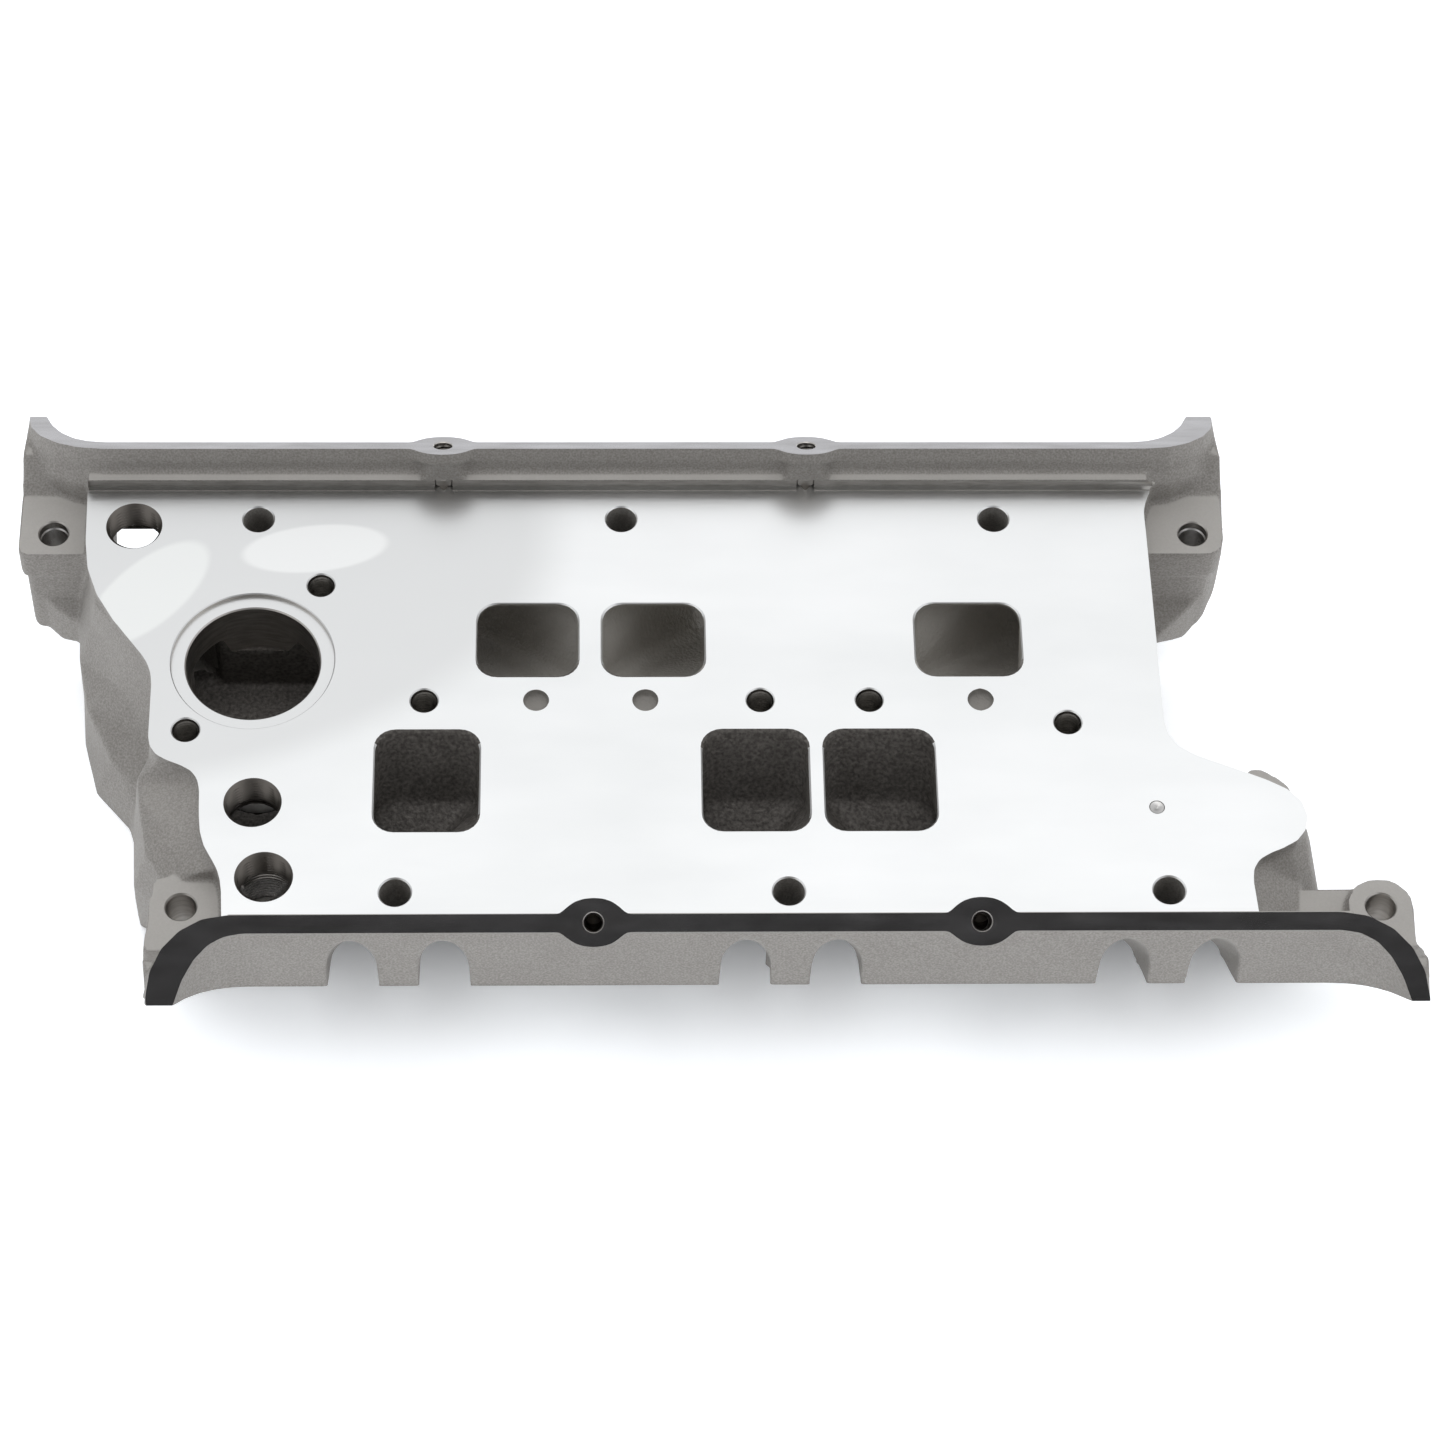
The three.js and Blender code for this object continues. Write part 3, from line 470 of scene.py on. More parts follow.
def port_chamfers():
    """A cutter for each deck port's edge: its sides slope at 45 degrees."""
    parts = []
    for x, y, width, length in PORTS:
        rings = []
        for grow, z in ((PORT_CHAMFER + OVER, OVER), (-OVER, -OVER - PORT_CHAMFER)):
            rings.append([(x + px, y + py, z) for px, py in port_plan(width, length, PORT_CORNER, grow)])
        parts.append(loft(rings))
    return parts


def mouth(radius, chamfer):
    """Where a drilled profile starts: a 45 degree chamfer, cut from outside the face."""
    return [(radius + chamfer + OVER, OVER), (radius, -chamfer)]


def ear_mouth():
    """The same on an ear, whose top lies below the deck."""
    wide = EAR_HOLE + EAR_CHAMFER
    return [(wide, OVER), (wide, EAR_TOP), (EAR_HOLE, EAR_TOP - EAR_CHAMFER)]


def tapped_profile(size):
    """A hole for a wire insert, with a narrower drill point under it."""
    hole, core = size["hole"], size["core"]
    seat = -size["length"] - 2 * INSERT_RECESS
    drill = -size["drill"]
    return [*mouth(hole, size["chamfer"]), (hole, seat), (core, seat), (core, drill), (0, drill - core / 2)]


def screw_holes():
    """Cutters for the bolt holes, the tapped holes, and the rail screws with their way out."""
    cuts = []
    for x, y in BOLTS:
        cuts.append(revolve([*mouth(BOLT_HOLE, BOLT_CHAMFER), (BOLT_HOLE, FOOT - OVER)], (x, y, 0)))
    for x, y in tapped_holes():
        cuts.append(revolve(tapped_profile(M8), (x, y, 0)))
    for x, y, z, lean in rail_screws():
        cuts.append(revolve(tapped_profile(M6), (x, y, z), lean))
        out = (x, math.copysign(RAIL_WAY_OUT["y"], y), 0)
        cuts.append(bar(out, M6["hole"], RAIL_WAY_OUT["top"], RAIL_WAY_OUT["bottom"], count=ROUND))
    return cuts


def ear_holes():
    """Cutters for the ears: those at the rear are wider below, for their dowel sleeves."""
    cuts = []
    for x, y in FRONT_EARS:
        cuts.append(revolve([*ear_mouth(), (EAR_HOLE, FOOT - OVER)], (x, y, 0)))
    seat = EAR_TOP - SLEEVE["depth"]
    wider = [(EAR_HOLE, seat), (SLEEVE["hole"], seat), (SLEEVE["hole"], FOOT - OVER)]
    for x, y in REAR_EARS:
        cuts.append(revolve([*ear_mouth(), *wider], (x, y, 0)))
    return cuts


def well_and_pin_hole():
    """Cutters for the thermostat's recess and bore, and for the deck pin."""
    depth, bore = THERMOSTAT["recess_depth"], THERMOSTAT["bore"]
    profile = [
        *mouth(THERMOSTAT["recess"], THERMOSTAT["recess_chamfer"]),
        (THERMOSTAT["recess"], -depth),
        (bore + THERMOSTAT["bore_chamfer"], -depth),
        (bore, -depth - THERMOSTAT["bore_chamfer"]),
        (bore, THERMOSTAT["floor"]),
    ]
    well = revolve(profile, (THERMOSTAT["x"], THERMOSTAT["y"], 0), count=128)
    pin = (DECK_PIN["x"], DECK_PIN["y"], 0)
    bottom = -DECK_PIN["length"] - DECK_PIN["room"]
    return [well, bar(pin, DECK_PIN["r"] + INSERT_GAP, OVER, bottom, count=ROUND)]


def pipe_mouths():
    """Cutters for the pipe ports' chamfers, at 45 degrees."""
    wide, narrow = PIPE["major"] + PIPE["flare"], PIPE["major"] - PIPE["throat"]
    profile = [(wide, OVER), (narrow, OVER - (wide - narrow))]
    return [revolve(profile, (x, y, 0)) for x, y, _ in PIPE_PORTS]


def pipe_threads():
    return [
        tap(PIPE["major"], PIPE["thread"], PIPE["pitch"], OVER, depth, (x, y))
        for x, y, depth in PIPE_PORTS
    ]


def drill_and_tap(body):
    carve(body, [*screw_holes(), *ear_holes(), *well_and_pin_hole()])
    for cutters in (port_chamfers(), pipe_mouths(), pipe_threads()):
        carve(body, cutters)


# ---------------------------------------------------------------- materials


def material(name, color, roughness, metallic=1.0):
    made = bpy.data.materials.new(name)
    made.use_nodes = True
    shader = made.node_tree.nodes["Principled BSDF"]
    shader.inputs["Metallic"].default_value = metallic
    shader.inputs["Roughness"].default_value = roughness
    shader.inputs["Base Color"].default_value = (*color, 1)
    return made


def node(tree, kind, **settings):
    made = tree.nodes.new(kind)
    for key, value in settings.items():
        if key.startswith("in_"):
            made.inputs[key[3:].replace("_", " ")].default_value = value
        else:
            setattr(made, key, value)
    return made


def texture(made, scale, stretch=(1, 1, 1), detail=4.0, roughness=0.5):
    """A noise over the object's own coordinates, in metres, with features of about 1/scale."""
    tree = made.node_tree
    place = node(tree, "ShaderNodeTexCoord")
    mapping = node(tree, "ShaderNodeMapping")
    mapping.inputs["Scale"].default_value = stretch
    tree.links.new(place.outputs["Object"], mapping.inputs["Vector"])
    grain = node(tree, "ShaderNodeTexNoise", in_Scale=scale, in_Detail=detail, in_Roughness=roughness)
    tree.links.new(mapping.outputs["Vector"], grain.inputs["Vector"])
    return grain.outputs["Fac"]


def blend_color(made, mask, dark, light, low=0.3, high=0.7):
    """Base Color between two colours, by a mask."""
    tree = made.node_tree
    ramp = node(tree, "ShaderNodeValToRGB")
    ramp.color_ramp.elements[0].position = low
    ramp.color_ramp.elements[0].color = (*dark, 1)
    ramp.color_ramp.elements[1].position = high
    ramp.color_ramp.elements[1].color = (*light, 1)
    tree.links.new(mask, ramp.inputs["Fac"])
    tree.links.new(ramp.outputs["Color"], tree.nodes["Principled BSDF"].inputs["Base Color"])


def spread_roughness(made, mask, low, high):
    tree = made.node_tree
    reach = node(tree, "ShaderNodeMapRange")
    reach.inputs["To Min"].default_value = low
    reach.inputs["To Max"].default_value = high
    tree.links.new(mask, reach.inputs["Value"])
    tree.links.new(reach.outputs["Result"], tree.nodes["Principled BSDF"].inputs["Roughness"])


def bump(made, mask, height, strength=1.0):
    """Adds a relief of a height in millimetres on top of any that is there."""
    tree = made.node_tree
    shader = tree.nodes["Principled BSDF"]
    relief = node(tree, "ShaderNodeBump", in_Strength=strength, in_Distance=height * MM)
    tree.links.new(mask, relief.inputs["Height"])
    links = shader.inputs["Normal"].links
    if links:
        tree.links.new(links[0].from_socket, relief.inputs["Normal"])
    tree.links.new(relief.outputs["Normal"], shader.inputs["Normal"])


def cast_aluminium():
    made = material("cast_aluminium", (0.36, 0.35, 0.335), 0.7, metallic=0.45)
    grain = texture(made, 1700, detail=6)
    blend_color(made, grain, (0.262, 0.246, 0.229), (0.372, 0.355, 0.335), 0.35, 0.65)
    # painted light: the level tops of the cast skin are made lighter, as if lit from above
    tint(made, painted_top_light(made), (0.5, 0.48, 0.455))
    spread_roughness(made, texture(made, 60), 0.6, 0.8)
    bump(made, texture(made, 2200, detail=3), 0.07)
    bump(made, texture(made, 420, detail=2), 0.08)
    return made


def eased(tree, value, start, full, low=0.0, high=1.0):
    """Takes a value from low to high between start and full, with soft ends."""
    reach = node(tree, "ShaderNodeMapRange", interpolation_type="SMOOTHSTEP")
    for name, level in zip(("From Min", "From Max", "To Min", "To Max"), (start, full, low, high)):
        reach.inputs[name].default_value = level
    tree.links.new(value, reach.inputs["Value"])
    return reach.outputs["Result"]


def painted_top_light(made):
    """A mask that grows to 0.8 on the level tops, for painted light: the tops are made brighter as if lit
    from above.
    """
    tree = made.node_tree
    shape = node(tree, "ShaderNodeNewGeometry")
    split = node(tree, "ShaderNodeSeparateXYZ")
    tree.links.new(shape.outputs["Normal"], split.inputs["Vector"])
    return eased(tree, split.outputs["Z"], 0.9, 0.99, high=0.8)


def cored_aluminium_shaded():
    # painted shade: the walls deep inside the runners and the coolant room are coloured dark
    made = material("cored_aluminium_shaded", (0.12, 0.115, 0.105), 0.6, metallic=0.35)
    blend_color(made, texture(made, 900, detail=5), (0.085, 0.077, 0.07), (0.2, 0.185, 0.17), 0.35, 0.7)
    # painted light: a lighter patch on the cored walls of the rear row, for light reaching into those
    # runners
    tint(made, patch(made, (0.03, 0.045), (0.14, 0.04)), (0.42, 0.4, 0.37))
    for x in CAST_RECESS_X:
        # painted light: each shallow cast mark is lighter than the painted shade round it
        light = patch(made, (x * MM, 0), (CAST_RECESS_PAINTED_LIGHT, CAST_RECESS_PAINTED_LIGHT))
        tint(made, light, (0.3, 0.285, 0.265))
    spread_roughness(made, texture(made, 300), 0.45, 0.75)
    bump(made, texture(made, 900, detail=3), 0.35)
    return made


def patch(made, centre, radii, turn=0.0):
    """A mask that is 1 in an ellipse seen from above, with a soft rim: metres from the middle, radians."""
    tree = made.node_tree
    place = node(tree, "ShaderNodeTexCoord")
    mapping = node(tree, "ShaderNodeMapping", vector_type="TEXTURE")
    mapping.inputs["Location"].default_value = (*centre, DECK_HEIGHT * MM)
    mapping.inputs["Rotation"].default_value = (0, 0, turn)
    mapping.inputs["Scale"].default_value = (*radii, 1.0)
    tree.links.new(place.outputs["Object"], mapping.inputs["Vector"])
    ball = node(tree, "ShaderNodeTexGradient", gradient_type="SPHERICAL")
    tree.links.new(mapping.outputs["Vector"], ball.inputs["Vector"])
    return eased(tree, ball.outputs["Fac"], 0.02, 0.16)


def tint(made, mask, color):
    """Mixes a colour over the present Base Color where the mask is 1."""
    tree = made.node_tree
    shader = tree.nodes["Principled BSDF"]
    before = shader.inputs["Base Color"].links[0].from_socket
    mix = node(tree, "ShaderNodeMix", data_type="RGBA")
    tree.links.new(mask, mix.inputs["Factor"])
    tree.links.new(before, mix.inputs[6])
    mix.inputs[7].default_value = (*color, 1)
    tree.links.new(mix.outputs[2], shader.inputs["Base Color"])


def milled_aluminium():
    made = material("milled_aluminium", (0.88, 0.88, 0.87), 0.3)
    blend_color(made, texture(made, 9, (1, 2.5, 1)), (0.83, 0.835, 0.83), (0.93, 0.93, 0.925))
    # painted reflection: the left part of the deck is darker, where its reflection is dimmer
    tint(made, patch(made, (-0.19, 0.05), (0.16, 0.09), 0.1), (0.745, 0.745, 0.74))
    # painted reflections: two lighter rounded patches, where the milled deck mirrors bright studio things
    tint(made, patch(made, (-0.166, 0.039), (0.026, 0.012), 0.85), (0.85, 0.855, 0.84))
    tint(made, patch(made, (-0.1165, 0.0555), (0.024, 0.0095), 0.12), (0.87, 0.87, 0.86))
    spread_roughness(made, texture(made, 30, (1, 3, 1)), 0.26, 0.36)
    bump(made, texture(made, 1500, (0.06, 1, 1), detail=2), 0.012)
    return made


def ground_rail_shaded():
    # painted shade: the rail's machined face is a much darker copy of the deck's aluminium, for its dimmer
    # reflection
    made = material("milled_rail_shaded", (0.5, 0.5, 0.51), 0.18)
    blend_color(made, texture(made, 60, (1, 4, 4)), (0.275, 0.265, 0.265), (0.355, 0.345, 0.35))
    spread_roughness(made, texture(made, 200, (0.4, 1, 1)), 0.12, 0.22)
    bump(made, texture(made, 1800, (1, 0.08, 0.08), detail=2), 0.008)
    return made


def bored_aluminium():
    made = material("bored_aluminium", (0.4, 0.38, 0.36), 0.34)
    blend_color(made, texture(made, 500, (0.3, 0.3, 2)), (0.4, 0.38, 0.355), (0.58, 0.555, 0.53))
    for x, y, _ in PIPE_PORTS:
        # painted shade: the bored walls of each pipe port are darkened deep in the hole
        dark = patch(made, (x * MM, y * MM), (PIPE_PORT_SHADE, PIPE_PORT_SHADE))
        tint(made, dark, (0.17, 0.155, 0.14))
    spread_roughness(made, texture(made, 200), 0.26, 0.42)
    bump(made, texture(made, 2500, (0.05, 0.05, 1), detail=1), 0.01)
    return made


def steel(name, dark, light, roughness):
    made = material(name, light, roughness)
    blend_color(made, texture(made, 300), dark, light)
    spread_roughness(made, texture(made, 500), roughness - 0.08, roughness + 0.1)
    bump(made, texture(made, 2000), 0.008)
    return made


def runner_middle(port, head_port, steps):
    """Points along a runner's middle line: down from the deck, then out to the head face."""
    x, y = port[:2]
    lean_y, lean_z = RUNNER_LEAN
    start, end = np.array([x, y, 0.0]), np.array([*head_port, HEAD_PORT_Z])
    lean = np.array([0, math.copysign(lean_y, y), lean_z])
    pull = [start, start - [0, 0, RUNNER_DROP], end - lean, end]
    weights = [(1 - steps) ** 3, 3 * steps * (1 - steps) ** 2, 3 * steps**2 * (1 - steps), steps**3]
    return sum(weight * point for weight, point in zip(weights, pull))


def cored_shade(centre, normal):
    """Faces of the runners and the coolant room, which sand cores left rough; their dark colour is painted
    shade for the hollows deep inside.
    """
    low, high = DUCT_ROOM
    found = np.all((centre > low) & (centre < high), axis=1)
    steps = np.linspace(0, 1, 16)[:, None]
    for port, head_port in zip(PORTS, HEAD_PORTS):
        for point in runner_middle(port, head_port, steps):
            away = point - centre
            distance = np.linalg.norm(away, axis=1)
            facing = np.einsum("ij,ij->i", away, normal) > CORED_SHADE_FACING * distance
            found |= (distance < CORED_SHADE_REACH) & facing & (centre[:, 2] < -0.02)
    return found


def read_faces(mesh):
    """Each face's middle, in millimetres from the deck, and its normal."""
    count = len(mesh.polygons)
    centre = np.empty(count * 3)
    normal = np.empty(count * 3)
    mesh.polygons.foreach_get("center", centre)
    mesh.polygons.foreach_get("normal", normal)
    return centre.reshape(-1, 3) / MM - [0, 0, DECK_HEIGHT], normal.reshape(-1, 3)


def on_plane(faces, direction, point, tolerance=0.01):
    """Faces that lie on a plane and look its way."""
    centre, normal = faces
    direction = np.array(direction)
    near = np.abs((centre - point) @ direction) < tolerance
    return near & (normal @ direction > 0.9995)


def from_axis(faces, x, y):
    """How far each face lies from an upright axis."""
    centre = faces[0]
    return np.hypot(centre[:, 0] - x, centre[:, 1] - y)


def mark_milled(faces, finish):
    """The milled planes, the bands beside the deck, and the ports' chamfers."""
    centre, normal = faces
    _, y, z = centre.T
    finish[on_plane(faces, (0, 0, 1), (0, 0, 0))] = MILLED
    finish[on_plane(faces, (0, 0, -1), (0, 0, FOOT))] = MILLED
    for side in (1, -1):
        tip = (0, side * TIP_Y, TIP_Z)
        finish[on_plane(faces, bank_normal(side, RAIL_NORMAL), tip)] = RAIL
        finish[on_plane(faces, bank_normal(side, FLANGE_NORMAL), tip)] = MILLED
        band = (z > 0) & (z < BAND_HEIGHT + 0.01) & (np.abs(side * y - BAND_Y) < 0.02)
        finish[band] = BORED
        finish[on_plane(faces, (0, 0, 1), (0, 0, BAND_LEDGE))] = MILLED
        edge = (z > -0.01) & (z < BAND_LEDGE + 0.01) & (np.abs(side * y - DECK_EDGE_Y) < 0.02)
        finish[edge] = BORED
    chamfer = (z < -0.005) & (z > -PORT_CHAMFER - 0.01) & (np.abs(normal[:, 2] - math.sqrt(0.5)) < 0.01)
    finish[chamfer] = MILLED


def in_hole(faces, finish, x, y, radius, bottom):
    """Faces inside an upright hole that aren't milled."""
    z = faces[0][:, 2]
    return (from_axis(faces, x, y) < radius) & (z < -0.01) & (z > bottom) & (finish != MILLED)


def mark_holes(faces, finish):
    """The walls of the drilled and bored holes, and the cast marks."""
    centre, normal = faces
    z = centre[:, 2]
    for x in CAST_RECESS_X:
        # the cast marks get the painted shade of the runners' walls
        finish[in_hole(faces, finish, x, 0.0, CAST_RECESS + 0.5, CAST_RECESS_BOTTOM)] = CORED_SHADE
    for x, y in tapped_holes():
        finish[in_hole(faces, finish, x, y, M8["hole"] + 0.4, -M8["drill"] - 2)] = BORED
    upright = np.abs(normal[:, 2]) < 0.8
    for x, y in [*REAR_EARS, *FRONT_EARS]:
        finish[in_hole(faces, finish, x, y, EAR_HOLE + 0.35, FOOT) & upright] = BORED
    for x, y, _ in PIPE_PORTS:
        away = from_axis(faces, x, y)
        wall = (away < PIPE["major"] + 0.3) & (away > PIPE["major"] - 1)
        finish[wall & (z < -0.005) & (z > PIPE["bored"])] = BORED
    x, y = THERMOSTAT["x"], THERMOSTAT["y"]
    well = in_hole(faces, finish, x, y, THERMOSTAT["recess"] + 0.4, THERMOSTAT["floor"])
    finish[well & (from_axis(faces, x, y) > THERMOSTAT["cored_inside"])] = BORED


def mark_rail_holes(faces, finish):
    """The rail screws' tilted holes, and where their drill leaves the wall."""
    centre = faces[0]
    z = centre[:, 2]
    for x, y, height, lean in rail_screws():
        axis = np.array([0, -math.sin(lean), math.cos(lean)])
        offset = centre - (x, y, height)
        down = offset @ axis
        away = np.linalg.norm(offset - down[:, None] * axis, axis=1)
        finish[(away < M6["hole"] + 0.3) & (down < -0.005) & (down > -M6["drill"] - 2)] = BORED
    for x, y, _, _ in rail_screws():
        in_way = from_axis(faces, x, math.copysign(RAIL_WAY_OUT["y"], y)) < M6["hole"] + 0.05
        finish[in_way & (z > -0.03) & (z < RAIL_WAY_OUT["top"] + 0.05)] = BORED
        finish[in_way & on_plane(faces, (0, 0, 1), (0, 0, RAIL_WAY_OUT["bottom"]))] = MILLED


def classify(body, looks):
    """Gives each face its finish by where it lies: milled planes, bored holes, or the cast skin."""
    mesh = body.data
    mesh.materials.clear()
    for look in FINISHES:
        mesh.materials.append(looks[look])
    faces = read_faces(mesh)
    finish = np.full(len(mesh.polygons), CAST)
    mark_milled(faces, finish)
    mark_holes(faces, finish)
    mark_rail_holes(faces, finish)
    recess_floor = on_plane(faces, (0, 0, 1), (0, 0, -THERMOSTAT["recess_depth"]))
    in_recess = from_axis(faces, THERMOSTAT["x"], THERMOSTAT["y"]) < THERMOSTAT["recess_reach"]
    finish[recess_floor & in_recess] = MILLED
    # painted shade: the cored walls deep inside get the dark material
    finish[(finish == CAST) & cored_shade(*faces)] = CORED_SHADE
    for x, y in BOLTS:
        finish[in_hole(faces, finish, x, y, BOLT_HOLE + 0.5, FOOT)] = CAST
    mesh.polygons.foreach_set("material_index", finish)
    mesh.polygons.foreach_set("use_smooth", np.ones(len(mesh.polygons), bool))
    mesh.set_sharp_from_angle(angle=math.radians(32))
    mesh.update()


def make_casting(looks):
    body = rough_casting()
    mill(body)
    drill_and_tap(body)
    classify(body, looks)
    return body


# ---------------------------------------------------------------- fitted pieces


def wire_insert(name, size, at, lean=0.0):
    """A coil of diamond-section wire."""
    pitch = size["pitch"]
    half_thick = 0.46 * pitch
    steps = 32
    outer, inner = size["hole"] - INSERT_GAP, size["core"]
    turns = (size["length"] - pitch) / pitch
    count = int(turns * steps)
    middle = (outer + inner) / 2
    section = [(inner, 0), (middle, -half_thick), (outer, 0), (middle, half_thick)]
    points = []
    for i in range(count + 1):
        angle = i * 2 * math.pi / steps
        height = -INSERT_RECESS - pitch / 2 - pitch * i / steps
        points.extend((r * math.cos(angle), r * math.sin(angle), height + dz) for r, dz in section)
    faces = []
    for i in range(count):
        for k in range(4):
            a, b = i * 4 + k, i * 4 + (k + 1) % 4
            faces.append((a, b, b + 4, a + 4))
    faces.append((3, 2, 1, 0))
    faces.append(tuple(count * 4 + k for k in range(4)))
    turn = np.array(Matrix.Rotation(lean, 3, "X"))
    return build(name, np.array(points) @ turn.T + np.array(at, float), faces)


def ring(name, bore, outer, top, bottom, at, bevel=0.3):
    """A hollow cylinder with eased edges."""
    profile = [
        (bore + bevel, top),
        (outer - bevel, top),
        (outer, top - bevel),
        (outer, bottom + bevel),
        (outer - bevel, bottom),
        (bore + bevel, bottom),
        (bore, bottom + bevel),
        (bore, top - bevel),
    ]
    rings = np.array([circle(radius) + [at[0], at[1], height] for radius, height in profile])
    faces = []
    for k in range(len(profile)):
        for i in range(ROUND):
            j = (i + 1) % ROUND
            n = (k + 1) % len(profile)
            faces.append((k * ROUND + i, n * ROUND + i, n * ROUND + j, k * ROUND + j))
    return build(name, rings.reshape(-1, 3), faces)


def finish_piece(made, node_name, look, sharp=30):
    made.data.materials.append(look)
    for polygon in made.data.polygons:
        polygon.use_smooth = True
    made.data.set_sharp_from_angle(angle=math.radians(sharp))
    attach(made, "root")
    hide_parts(node_name)


def make_inserts(look):
    for i, (x, y) in enumerate(COVER_STUDS):
        add_insert(f"thread_insert_thermostat_{i + 1}", M8, (x, y, 0), 0.0, look)
    add_insert("thread_insert_bracket", M8, (*BRACKET_HOLE, 0), 0.0, look)
    for i, x in enumerate(PLENUM_X):
        add_insert(f"thread_insert_plenum_{i + 1}", M8, (x, 0, 0), 0.0, look)
    y, z = rail_yz(RAIL_SCREW_S)
    for i, x in enumerate(RAIL_SCREW_X):
        add_insert(f"thread_insert_rear_rail_{i + 1}", M6, (x, y, z), -RAIL_TILT, look)
        add_insert(f"thread_insert_front_rail_{i + 1}", M6, (-x, -y, z), RAIL_TILT, look)


def add_insert(node_name, size, at, lean, look):
    made = wire_insert(node_name + "_wire", size, at, lean)
    finish_piece(made, node_name, look)


def make_sleeves(look):
    top = EAR_TOP - SLEEVE["depth"] - INSERT_GAP
    bottom = top - SLEEVE["length"]
    for side, at in zip(("left", "right"), REAR_EARS):
        made = ring(f"sleeve_{side}", SLEEVE["bore"], SLEEVE["hole"] - INSERT_GAP, top, bottom, at, 0.5)
        finish_piece(made, f"dowel_sleeve_{side}", look)


def make_pin(look):
    """The deck pin, with a turned centre in its head."""
    r, bottom = DECK_PIN["r"], -DECK_PIN["length"]
    centre = [(0, -0.75), (0.5, -0.5), (1.3, -0.12)]
    side = [(r - 0.2, 0), (r, -0.2), (r, bottom + 0.4), (r - 0.4, bottom)]
    points, faces = revolve([*centre, *side], (DECK_PIN["x"], DECK_PIN["y"], 0))
    finish_piece(build("deck_pin_head", points, faces), "deck_pin", look)


def make_core_plugs(look):
    """Cups of pressed sheet, open below."""
    h, sheet = CORE_PLUG_HEIGHT, CORE_PLUG_SHEET
    for name, (x, y, radius) in CORE_PLUGS.items():
        r = radius - INSERT_GAP
        outside = [(0, h), (r - 1.5, h), (r - 0.4, h - 0.4), (r, h - 1.5), (r, 0)]
        bore, roof = r - sheet, h - sheet
        inside = [(bore, 0), (bore, roof - 1.2), (bore - 1.0, roof), (0, roof)]
        points, faces = revolve([*outside, *inside], (x, y, DUCT_FLOOR))
        finish_piece(build(name + "_cup", points, faces), name, look)


def make_shield(look, rivet_look):
    """The CAD's own shield, and round-headed drive rivets in its posts."""
    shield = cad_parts["splash_shield"]
    shield.data.materials.clear()
    shield.data.materials.append(look)
    shank = [(2.25, RIVET_DEPTH), (2.25, 0.0)]
    head = [(4.5, 0.0), (4.5, -0.5), (4.1, -1.1), (3.2, -1.7), (1.8, -2.1), (0, -2.2)]
    for i, (x, y) in enumerate(SHIELD_POSTS, start=1):
        points, faces = revolve([*shank, *head], (x, y, SHIELD_Z - SHIELD_SHEET), count=40)
        finish_piece(build(f"rivet_{i}", points, faces), f"shield_rivet_{i}", rivet_look)


# ---------------------------------------------------------------- the room


def make_floor():
    half = FLOOR_HALF
    corners = [(-half, -half, 0), (half, -half, 0), (half, half, 0), (-half, half, 0)]
    mesh = bpy.data.meshes.new("floor")
    mesh.from_pydata(corners, [], [(0, 1, 2, 3)])
    floor = bpy.data.objects.new("floor", mesh)
    bpy.context.scene.collection.objects.link(floor)
    glowing_floor = material("floor_glow_painted_shadow", (0.9, 0.9, 0.9), 0.9, metallic=0.0)
    tree = glowing_floor.node_tree
    shader = tree.nodes["Principled BSDF"]
    shader.inputs["Emission Color"].default_value = (0.93, 0.96, 1.0, 1)
    # painted shadow: the floor's glow fades by ambient occlusion under and beside the part
    open_sky = node(tree, "ShaderNodeAmbientOcclusion", samples=12, in_Distance=GLOW_REACH)
    glow_with_painted_shadow = eased(tree, open_sky.outputs["AO"], GLOW_STARTS, GLOW_FULL, FLOOR_GLOW_IN_PAINTED_SHADOW, FLOOR_GLOW)
    tree.links.new(glow_with_painted_shadow, shader.inputs["Emission Strength"])
    floor.data.materials.append(glowing_floor)


def make_light(name, size, power, place, target=(0, 0, 0.04)):
    data = bpy.data.lights.new(name, "AREA")
    data.shape = "RECTANGLE"
    data.size, data.size_y = size
    data.energy = power
    made = bpy.data.objects.new(name, data)
    bpy.context.scene.collection.objects.link(made)
    made.location = place
    made.rotation_euler = (Vector(target) - Vector(place)).to_track_quat("-Z", "Y").to_euler()


def make_camera():
    data = bpy.data.cameras.new("camera")
    data.sensor_width = 36.0
    data.lens = CAMERA_LENS
    made = bpy.data.objects.new("camera", data)
    bpy.context.scene.collection.objects.link(made)
    p, yaw, roll = CAMERA_PITCH, CAMERA_YAW, CAMERA_ROLL
    forward = Vector((math.sin(yaw) * math.cos(p), math.cos(yaw) * math.cos(p), -math.sin(p)))
    right = Vector((math.cos(yaw), -math.sin(yaw), 0))
    up = right.cross(forward)
    turned_right = right * math.cos(roll) + up * math.sin(roll)
    turned_up = up * math.cos(roll) - right * math.sin(roll)
    axes = Matrix((turned_right, turned_up, -forward)).transposed()
    made.matrix_world = Matrix.Translation(CAMERA_PLACE) @ axes.to_4x4()
    bpy.context.scene.camera = made


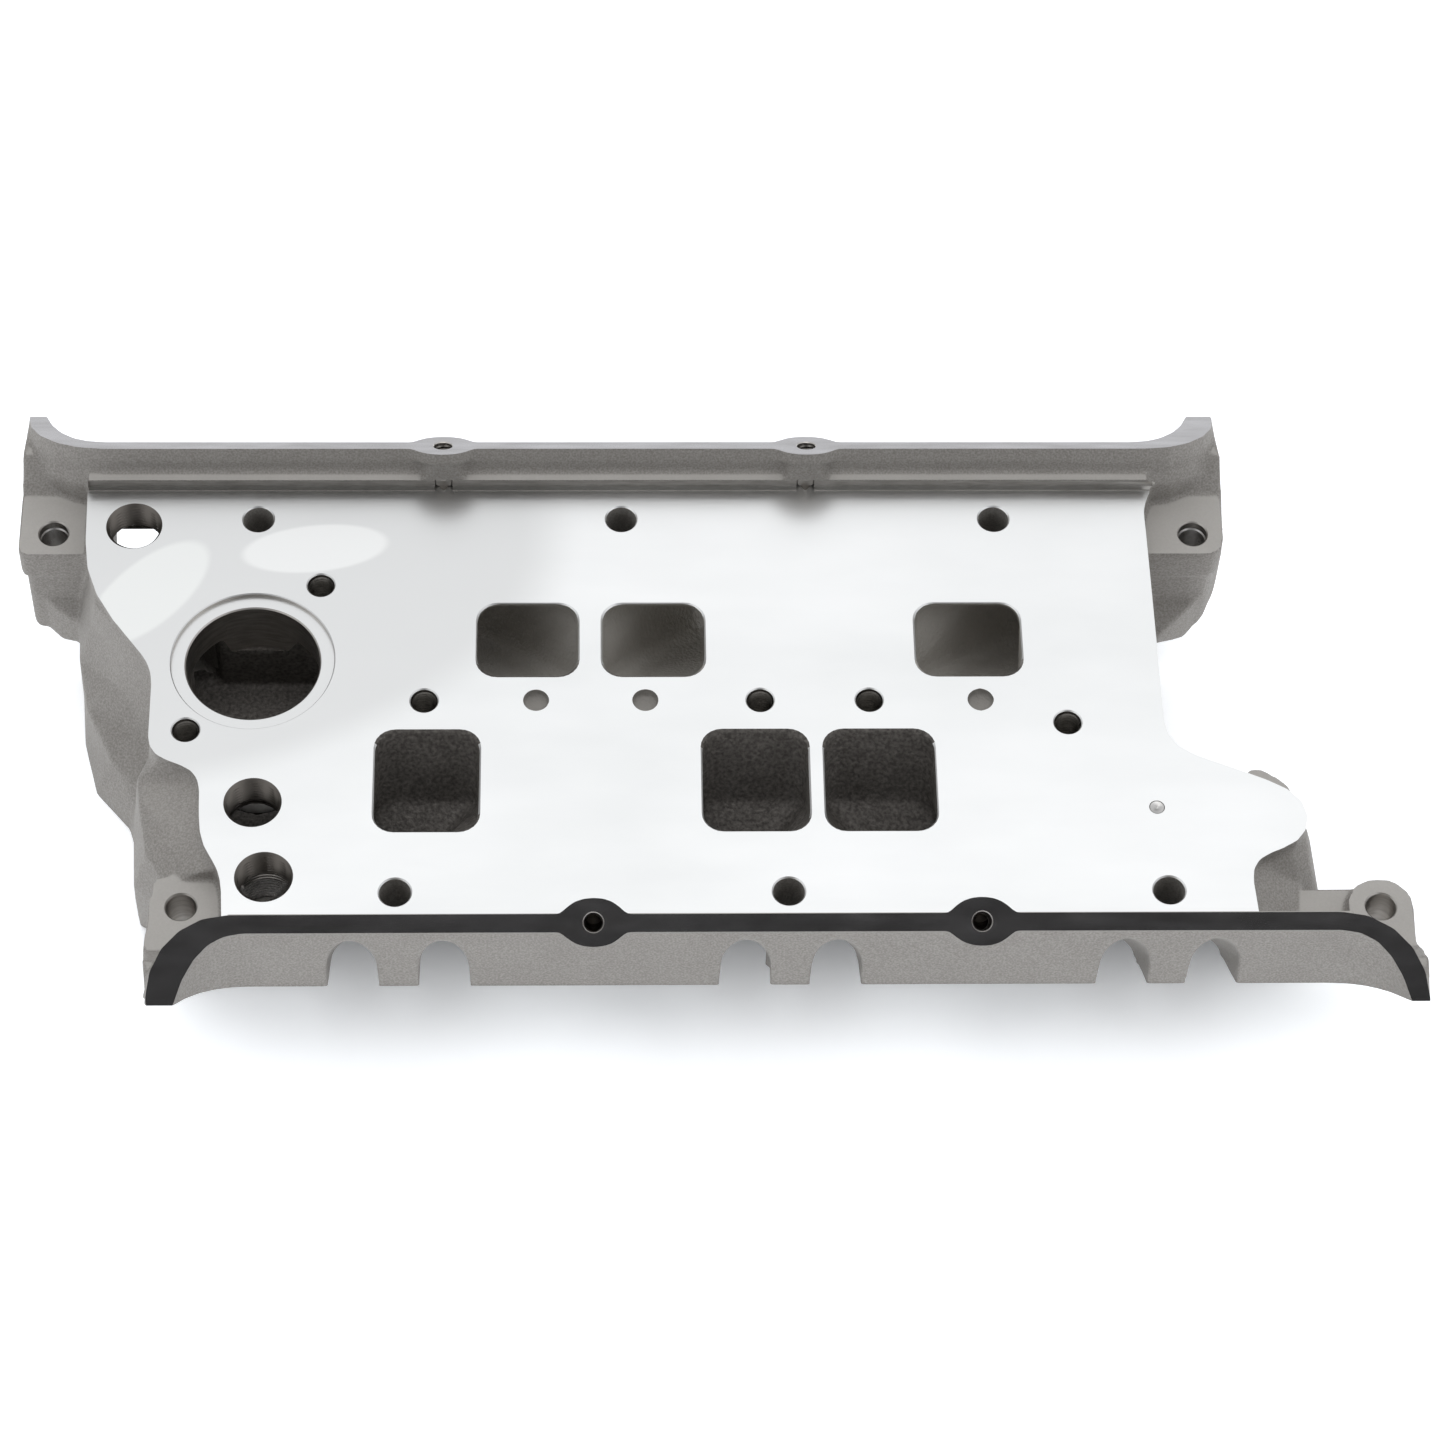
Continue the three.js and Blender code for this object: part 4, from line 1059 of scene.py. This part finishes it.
def make_world():
    """A bright studio dome: greyer at the horizon, and dark where the camera and its people stand."""
    world = bpy.data.worlds.new("studio")
    bpy.context.scene.world = world
    world.use_nodes = True
    tree = world.node_tree
    background = tree.nodes["Background"]
    place = node(tree, "ShaderNodeTexCoord")
    split = node(tree, "ShaderNodeSeparateXYZ")
    tree.links.new(place.outputs["Generated"], split.inputs["Vector"])
    height = eased(tree, split.outputs["Z"], 0.0, FULL_SKY_FROM, HORIZON_LIGHT)
    towards = node(tree, "ShaderNodeVectorMath", operation="DOT_PRODUCT")
    towards.inputs[1].default_value = DARK_SIDE
    tree.links.new(place.outputs["Generated"], towards.inputs[0])
    shade = eased(tree, towards.outputs["Value"], DARK_SIDE_EDGE, DARK_SIDE_CORE, 1.0, DARK_SIDE_LIGHT)
    product = node(tree, "ShaderNodeMath", operation="MULTIPLY")
    tree.links.new(height, product.inputs[0])
    tree.links.new(shade, product.inputs[1])
    tree.links.new(product.outputs["Value"], background.inputs["Strength"])
    background.inputs["Color"].default_value = (0.97, 0.985, 1.0, 1)


def make_studio():
    make_floor()
    make_world()
    make_light("softbox_above", (1.4, 1.4), 6, (0.0, -0.1, 1.9))
    bpy.context.scene.view_settings.view_transform = "Standard"


# ---------------------------------------------------------------- the whole

make_camera()
make_studio()
looks = {
    "cast": cast_aluminium(),
    "milled": milled_aluminium(),
    "rail": ground_rail_shaded(),
    "bored": bored_aluminium(),
    "cored_shade": cored_aluminium_shaded(),
}
casting = make_casting(looks)
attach(casting, "root")
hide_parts("manifold_casting")
make_inserts(steel("insert_wire", (0.2, 0.19, 0.175), (0.36, 0.345, 0.325), 0.3))
dowel = steel("dowel_steel", (0.42, 0.41, 0.4), (0.6, 0.59, 0.58), 0.3)
make_sleeves(dowel)
make_pin(dowel)
make_core_plugs(steel("plug_steel", (0.12, 0.115, 0.11), (0.2, 0.195, 0.185), 0.5))
make_shield(
    steel("shield_zinc", (0.5, 0.51, 0.5), (0.64, 0.65, 0.64), 0.42),
    steel("rivet_steel", (0.4, 0.4, 0.4), (0.56, 0.56, 0.55), 0.35),
)
